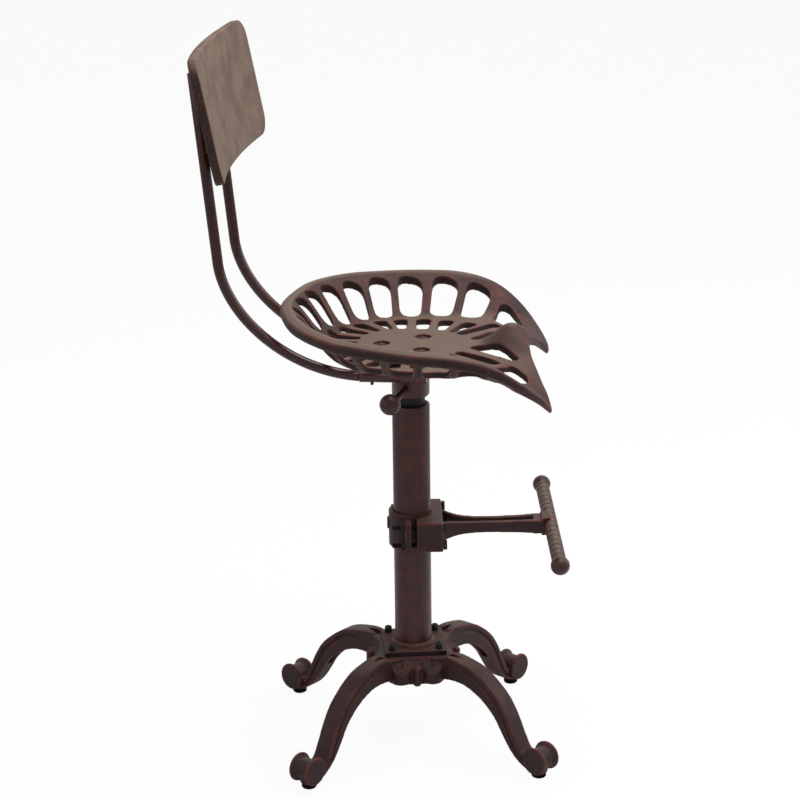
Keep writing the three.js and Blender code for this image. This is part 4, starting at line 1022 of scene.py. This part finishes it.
def back_plate():
    """Layers of one grid, set in at both faces so that the plate's edges are round."""
    rows = BACK_ROWS
    columns = BACK_COLUMNS
    bend = [math.pi / 2 / BACK_EDGE_STEPS * k for k in range(BACK_EDGE_STEPS + 1)]
    bend = [(BACK_EDGE_ROUND * (1 - math.cos(a)), BACK_EDGE_ROUND * (1 - math.sin(a))) for a in bend]
    layers = bend + [(BACK_THICKNESS - depth, edge) for depth, edge in reversed(bend)]
    heights = [math.sin(math.pi / 2 * (2 * j / rows - 1)) for j in range(rows + 1)]
    vertices = []
    for depth, edge in layers:
        for share in heights:
            h = share * (BACK_HEIGHT / 2 - edge)
            for i in range(columns + 1):
                vertices.append(back_place((2 * i / columns - 1) * back_spread(h, edge), h, depth))
    wide = columns + 1
    layer_size = wide * (rows + 1)
    faces = []
    for j in range(rows):
        for i in range(columns):
            a = j * wide + i
            faces.append((a, a + 1, a + wide + 1, a + wide))
            b = (len(layers) - 1) * layer_size + a
            faces.append((b, b + wide, b + wide + 1, b + 1))
    border = list(range(wide)) + [j * wide + columns for j in range(1, rows + 1)]
    border += [rows * wide + i for i in range(columns - 1, -1, -1)]
    border += [j * wide for j in range(rows - 1, 0, -1)]
    for level in range(len(layers) - 1):
        low = level * layer_size
        for a, b in zip(border, border[1:] + border[:1]):
            faces.append((low + b, low + a, low + layer_size + a, low + layer_size + b))
    plate = shade_smooth(made("plate_back", Solid().add(vertices, faces), BACK_TURN))
    stands_for(plate, ["back_plate"], "seat", PLATE)


# Backrest rods and sockets

def rod_line(y):
    """Middle line of a rod: level out of its socket, one bend, and straight up to the plate."""
    rise = ROD_BEND_TOP - ROD_HEIGHT
    start = Vector((-SOCKET_BACK - FIT, y, ROD_HEIGHT))
    under = Vector((-ROD_BEND_REACH * ROD_UNDER_SHARES[0], y, ROD_HEIGHT + rise * ROD_UNDER_SHARES[1]))
    back = Vector((-ROD_BEND_REACH * ROD_BACK_SHARES[0], y, ROD_HEIGHT + rise * ROD_BACK_SHARES[1]))
    end = Vector((-ROD_BEND_REACH, y, ROD_BEND_TOP))
    top = Vector((-ROD_TOP_BACK, y, ROD_TOP))
    line = []
    for k in range(ROD_STEPS + 1):
        t = k / ROD_STEPS
        line.append(start * (1 - t) ** 3 + under * (3 * t * (1 - t) ** 2) + back * (3 * t * t * (1 - t))
                    + end * t ** 3)
    line.insert(1, start + Vector((-ROD_CHAMFER, 0, 0)))
    way = (top - end).normalized()
    line += [end + (top - end) * share for share in ROD_STRAIGHT_SHARES]
    return line + [top - way * ROD_TIP_LONG, top - way * ROD_TIP_SHORT, top]


def back_rods():
    for name, y in (("left", ROD_SIDE), ("right", -ROD_SIDE)):
        line = rod_line(y)
        radii = [ROD_RADIUS - ROD_CHAMFER] + [ROD_RADIUS] * (len(line) - 3)
        radii += [ROD_RADIUS - ROD_TIP_SHORT, ROD_RADIUS - ROD_TIP_LONG]
        rod = Solid().tube(line, radii, 28)
        ends = (-SOCKET_BACK - SPIGOT_OVERLAP, SPIGOT_LENGTH - SOCKET_BACK)
        rod.tube([(x, y, ROD_HEIGHT) for x in ends], SPIGOT_RADIUS, 20)
        piece("rod_" + name, rod, "seat", ROD, ["back_rod_" + name], turn=BACK_TURN, sharp=50)
        soften("rod_socket_" + name, SOCKET_EDGE)


# Column, collar and knob

def column():
    inner = COLUMN_RADIUS - COLUMN_WALL
    bend = COLUMN_EDGE * COLUMN_EDGE_SHARE
    profile = [(inner, COLUMN_FOOT), (COLUMN_RADIUS, COLUMN_FOOT), (COLUMN_RADIUS, COLUMN_TOP - COLUMN_EDGE),
               (COLUMN_RADIUS - bend, COLUMN_TOP - bend), (COLUMN_RADIUS - COLUMN_EDGE, COLUMN_TOP),
               (inner + COLUMN_INNER_EDGE, COLUMN_TOP), (inner, COLUMN_TOP - COLUMN_INNER_EDGE)]
    piece("tube_column", Solid().ring(profile), "base", TUBE, ["column_tube"])


def weld_bead():
    """Bead round the column's foot, with ripples and a slow swell."""
    rows = []
    for k in range(WELD_SEGMENTS):
        angle = 2 * math.pi * k / WELD_SEGMENTS
        ripple = WELD_RIPPLE_SHARE * abs(math.sin(angle * WELD_RIPPLES))
        size = WELD_LEG * (1 - ripple - WELD_WAVE_SHARE * math.sin(angle * WELD_WAVES + 1))
        row = []
        for out, up in WELD_SHARES:
            radius = COLUMN_RADIUS + FIT + out * size
            row.append((radius * math.cos(angle), radius * math.sin(angle), COLUMN_FOOT + up * size))
        rows.append(row)
    piece("bead_column", Solid().hoop(rows), "base", BEAD, ["column_weld"], sharp=60)


def collar_and_knob():
    bore = SPINDLE_RADIUS + SPINDLE_ROOM
    radius = COLUMN_RADIUS
    bevel = COLLAR_BOTTOM + COLLAR_CHAMFER
    profile = [(bore, COLLAR_BOTTOM), (radius - COLLAR_CHAMFER, COLLAR_BOTTOM),
               (radius - COLLAR_BEND, bevel - COLLAR_BEND_LOW), (radius, bevel + COLLAR_BEND),
               (radius, COLLAR_TOP), (bore, COLLAR_TOP)]
    piece("ring_collar", Solid().ring(profile), "seat", TUBE, ["seat_collar"])
    angle = math.radians(KNOB_ANGLE)
    way = Vector((math.cos(angle), math.sin(angle), 0))
    centre = Vector((0, 0, KNOB_HEIGHT))
    ends = [centre + way * (SPINDLE_RADIUS + FIT), centre + way * (KNOB_REACH - KNOB_OVERLAP)]
    piece("stem_knob", Solid().tube(ends, KNOB_STEM, 28), "knob", TUBE, ["knob_screw"])
    piece("ball_knob", Solid().ball(centre + way * KNOB_REACH, KNOB_RADIUS), "knob", TUBE, ["knob_ball"])


# Footrest

def arm_rails():
    """The arm's two flat rails, which narrow from the clamp to the boss."""
    widths = curve_through(scaled(ARM_WIDTH_SHARES, BAR_REACH, ARM_ROOT_WIDTH), ARM_STEPS)
    heights = curve_through(scaled(ARM_HEIGHT_SHARES, BAR_REACH, ARM_ROOT_HEIGHT), ARM_STEPS)
    rails = Solid()
    for side in (1, -1):
        vertices = []
        for p, tall in zip(widths, heights):
            for y, up in ((p.y, tall.y), (p.y - ARM_RAIL, tall.y), (p.y - ARM_RAIL, -tall.y), (p.y, -tall.y)):
                vertices.append((p.x, side * y, up + FOOTREST_HEIGHT))
        last = 4 * (len(widths) - 1)
        faces = []
        for row in range(0, last, 4):
            for k in range(4):
                a = row + k
                b = row + (k + 1) % 4
                faces.append((a, b, b + 4, a + 4))
        rails.add(vertices, faces + [(0, 1, 2, 3), (last, last + 1, last + 2, last + 3)])
    return rails


def mirrored(points):
    """Outline that goes up one side and back down the other."""
    return [(x, -y) for x, y in points] + points[::-1]


def footrest_arm():
    """Clamp block, rails, boss and the lips round the crossbar, in one casting."""
    arm = arm_rails()
    half = BOSS_HALF_WIDTH
    end = BAR_REACH - BAR_RADIUS - FIT
    boss = mirrored([(end - BOSS_LENGTH - BOSS_OVERLAP, half), (end, half)])
    lips = mirrored([(end - BAR_LIP, half), (BAR_REACH, half - BAR_LIP)])
    block = mirrored([(CLAMP_BACK, CLAMP_HALF_SPAN), (CLAMP_FRONT, CLAMP_HALF_SPAN)])
    for outline, tall in ((boss, BOSS_HALF_HEIGHT), (lips, BAR_RADIUS + BAR_LIP),
                          (rounded(block, [CLAMP_CORNER] * 4), CLAMP_HALF_HEIGHT)):
        arm.prism(outline, FOOTREST_HEIGHT - tall, FOOTREST_HEIGHT + tall)
    body = cast(made("casting_arm", arm, FOOTREST_TURN), ARM_CAST[0])
    low = FOOTREST_HEIGHT - CLAMP_HALF_HEIGHT - OVERRUN
    high = FOOTREST_HEIGHT + CLAMP_HALF_HEIGHT + OVERRUN
    bore = Solid().turned([(0, low), (CLAMP_BORE, low), (CLAMP_BORE, high), (0, high)], segments=RING_SIDES)
    ends = [(BAR_REACH, side * BAR_HALF, FOOTREST_HEIGHT) for side in (-1, 1)]
    cut(body, [bore, Solid().tube(ends, BAR_RADIUS + FIT, 48)], FOOTREST_TURN)
    cast(body, *ARM_CAST)
    stands_for(body, ["footrest_arm"], "footrest", CASTING)


def clamp_band():
    """The solid's own band, with cast edges."""
    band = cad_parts["clamp_band"].copy()
    band.data = band.data.copy()
    band.name = "casting_band"
    bpy.context.scene.collection.objects.link(band)
    weld = band.modifiers.new("weld", "WELD")
    weld.merge_threshold = MERGE_DISTANCE * MM
    cast(settled(band), *ARM_CAST)
    stands_for(band, ["clamp_band"], "footrest", CASTING)


def crossbar():
    half = BAR_HALF - BAR_BALL + BAR_BALL_OVERLAP
    steps = BAR_RIBS * BAR_RIB_STEPS
    profile = [(0, -half)]
    for k in range(steps + 1):
        share = (k % BAR_RIB_STEPS) / BAR_RIB_STEPS
        notch = max(0, 1 - abs(share - 0.5) / BAR_NOTCH_SHARE)
        profile.append((BAR_RADIUS - BAR_GROOVE * smooth(notch), -half + 2 * half * k / steps))
    profile.append((0, half))
    rod = Solid().turned(profile, lambda x, y, z: (x + BAR_REACH, z, y + FOOTREST_HEIGHT), 40)
    piece("bar_ribbed", rod, "footrest", BAR_DUST_AND_LIGHT, ["crossbar"], turn=FOOTREST_TURN)
    for name, side in (("left", 1), ("right", -1)):
        ball = Solid().ball((BAR_REACH, side * BAR_HALF, FOOTREST_HEIGHT), BAR_BALL)
        piece("ball_" + name, ball, "footrest", TUBE, ["crossbar_ball_" + name], turn=FOOTREST_TURN)


def bolt_solid(y, z):
    """Hexagon head in front, threaded tail behind."""
    def place(a, b, c):
        return c, y + a, z + b

    back = CLAMP_FRONT + FIT
    top = back + BOLT_HEAD_HEIGHT
    hexagon = around(BOLT_HEAD / math.sqrt(3), 6)
    rings = [(back, 1), (top - BOLT_CHAMFER, 1), (top, BOLT_HEAD_TOP_SHARE)]
    vertices = [place(a * share, b * share, c) for c, share in rings for a, b in hexagon]
    faces = [tuple(reversed(range(6))), tuple(range(12, 18))]
    for low in (0, 6):
        faces += [(low + k, low + (k + 1) % 6, low + 6 + (k + 1) % 6, low + 6 + k) for k in range(6)]
    profile = [(0, BOLT_TAIL), (BOLT_RADIUS - BOLT_CHAMFER, BOLT_TAIL)]
    x = BOLT_TAIL + THREAD_RUN
    while x < CLAMP_BACK:
        profile += [(BOLT_RADIUS, x), (BOLT_RADIUS - THREAD_DEPTH, x + THREAD_RUN)]
        x += THREAD_PITCH
    profile += [(BOLT_RADIUS, x), (BOLT_RADIUS, back), (0, back)]
    return Solid().add(vertices, faces).turned(profile, place, 20)


def clamp_bolts():
    places = [(side * BOLT_SIDE, rise * BOLT_RISE) for side in (-1, 1) for rise in (1, -1)]
    for i, (y, rise) in enumerate(places, 1):
        bolt = bolt_solid(y, FOOTREST_HEIGHT + rise)
        piece("bolt_%d" % i, bolt, "footrest", STEEL, ["clamp_bolt_%d" % i], FOOTREST_TURN, 30)
        soften("clamp_nut_%d" % i, NUT_EDGE)


# Solids that are kept as they are

def dress_cad_pieces():
    black = {"column_nut", "spindle", "spindle_stop", "thrust_washer"}
    for name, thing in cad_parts.items():
        if name.startswith("foot_pad"):
            dressed(thing, RUBBER)
        elif name.startswith("seat_screw") or name in ("foot_plate", "bracket_plate"):
            dressed(thing, FLAT)
        elif name.startswith(("rod_socket", "socket_screw", "back_standoff")):
            dressed(thing, ROD)
        elif name in black or "screw_" in name or "_nut_" in name or "clamp_bolt" in name:
            dressed(thing, STEEL)
        else:
            dressed(thing, TUBE)


# Backdrop, lamps and camera

WORLD_LIGHT = 0.32
FLOOR_HALF = 30
FLOOR_GREY = 0.9
FLOOR_ROUGHNESS = 0.8
FLOOR_GLOW_SHARE = 0.93
LAMP_AIM = (0, 0, 0.55)
LAMPS = [("top", (0.6, -0.1, 3.2), 88, 2.4), ("right", (2.6, 1.0, 1.8), 30, 2.0),
         ("left", (-2.6, -1.8, 1.8), 8, 2.0)]
CAMERA_DISTANCE = 3.4
CAMERA_HEIGHT = 1.6145
CAMERA_LENS = 108.09
CAMERA_SENSOR = 36
CAMERA_TURNS = (17.54, -0.27, -0.74)


def larger(tree, one, other):
    node = tree.nodes.new("ShaderNodeMath")
    node.operation = "MAXIMUM"
    tree.links.new(one, node.inputs[0])
    tree.links.new(other, node.inputs[1])
    return node.outputs["Value"]


def backdrop():
    """White wherever the camera sees it, also in a reflection or through a piece, and a dimmer light."""
    world = bpy.data.worlds.new("studio")
    bpy.context.scene.world = world
    world.use_nodes = True
    tree = world.node_tree
    tree.nodes.clear()
    rays = tree.nodes.new("ShaderNodeLightPath").outputs
    seen = larger(tree, rays["Is Camera Ray"], rays["Is Transmission Ray"])
    mix = tree.nodes.new("ShaderNodeMixShader")
    tree.links.new(larger(tree, seen, rays["Is Glossy Ray"]), mix.inputs["Fac"])
    for i, strength in ((1, WORLD_LIGHT), (2, 1)):
        light = filled(tree.nodes.new("ShaderNodeBackground"), Color=WHITE, Strength=strength)
        tree.links.new(light.outputs["Background"], mix.inputs[i])
    out = tree.nodes.new("ShaderNodeOutputWorld")
    tree.links.new(mix.outputs["Shader"], out.inputs["Surface"])


def pale_floor():
    """Floor that keeps the object's shadow and glows nearly white to the camera."""
    mesh = bpy.data.meshes.new("floor")
    corners = [(x * FLOOR_HALF, y * FLOOR_HALF, 0) for x, y in [(-1, -1), (1, -1), (1, 1), (-1, 1)]]
    mesh.from_pydata(corners, [], [(0, 1, 2, 3)])
    floor = placed("floor", mesh)
    material = bpy.data.materials.new("pale floor")
    material.use_nodes = True
    tree = material.node_tree
    grey = (FLOOR_GREY, FLOOR_GREY, FLOOR_GREY, 1)
    shader = filled(tree.nodes["Principled BSDF"], Base_Color=grey, Roughness=FLOOR_ROUGHNESS)
    glow = filled(tree.nodes.new("ShaderNodeEmission"), Color=WHITE, Strength=1)
    rays = tree.nodes.new("ShaderNodeLightPath").outputs
    share = tree.nodes.new("ShaderNodeMath")
    share.operation = "MULTIPLY"
    share.inputs[1].default_value = FLOOR_GLOW_SHARE
    blend = tree.nodes.new("ShaderNodeMixShader")
    tree.links.new(rays["Is Camera Ray"], share.inputs[0])
    tree.links.new(share.outputs["Value"], blend.inputs["Fac"])
    tree.links.new(shader.outputs["BSDF"], blend.inputs[1])
    tree.links.new(glow.outputs["Emission"], blend.inputs[2])
    tree.links.new(blend.outputs["Shader"], tree.nodes["Material Output"].inputs["Surface"])
    mesh.materials.append(material)


def lamps():
    for name, place, power, size in LAMPS:
        lamp = bpy.data.lights.new(name, "AREA")
        lamp.energy = power
        lamp.size = size
        thing = placed(name, lamp)
        thing.location = place
        aim = Vector(LAMP_AIM) - Vector(place)
        thing.rotation_euler = aim.to_track_quat("-Z", "Y").to_euler()


def camera():
    """The photograph's camera, which looks along +Y and down at the column."""
    pitch, yaw, roll = (math.radians(turn) for turn in CAMERA_TURNS)
    ahead = Vector((math.sin(yaw) * math.cos(pitch), math.cos(yaw) * math.cos(pitch), -math.sin(pitch)))
    right = ahead.cross(Vector((0, 0, 1))).normalized()
    up = right.cross(ahead)
    side = right * math.cos(roll) + up * math.sin(roll)
    top = up * math.cos(roll) - right * math.sin(roll)
    lens = bpy.data.cameras.new("camera")
    lens.lens = CAMERA_LENS
    lens.sensor_width = CAMERA_SENSOR
    thing = placed("camera", lens)
    turn = Matrix((side, top, -ahead)).transposed().to_4x4()
    thing.matrix_world = Matrix.Translation((AXIS_X, AXIS_Y - CAMERA_DISTANCE, CAMERA_HEIGHT)) @ turn
    bpy.context.scene.camera = thing


dress_cad_pieces()
base_casting()
column()
weld_bead()
seat_casting()
collar_and_knob()
back_plate()
back_rods()
footrest_arm()
clamp_band()
crossbar()
clamp_bolts()
for node in ("foot_plate", "bracket_plate"):
    soften(node, PLATE_EDGE)

bpy.context.scene.view_settings.view_transform = "Standard"
backdrop()
pale_floor()
lamps()
camera()
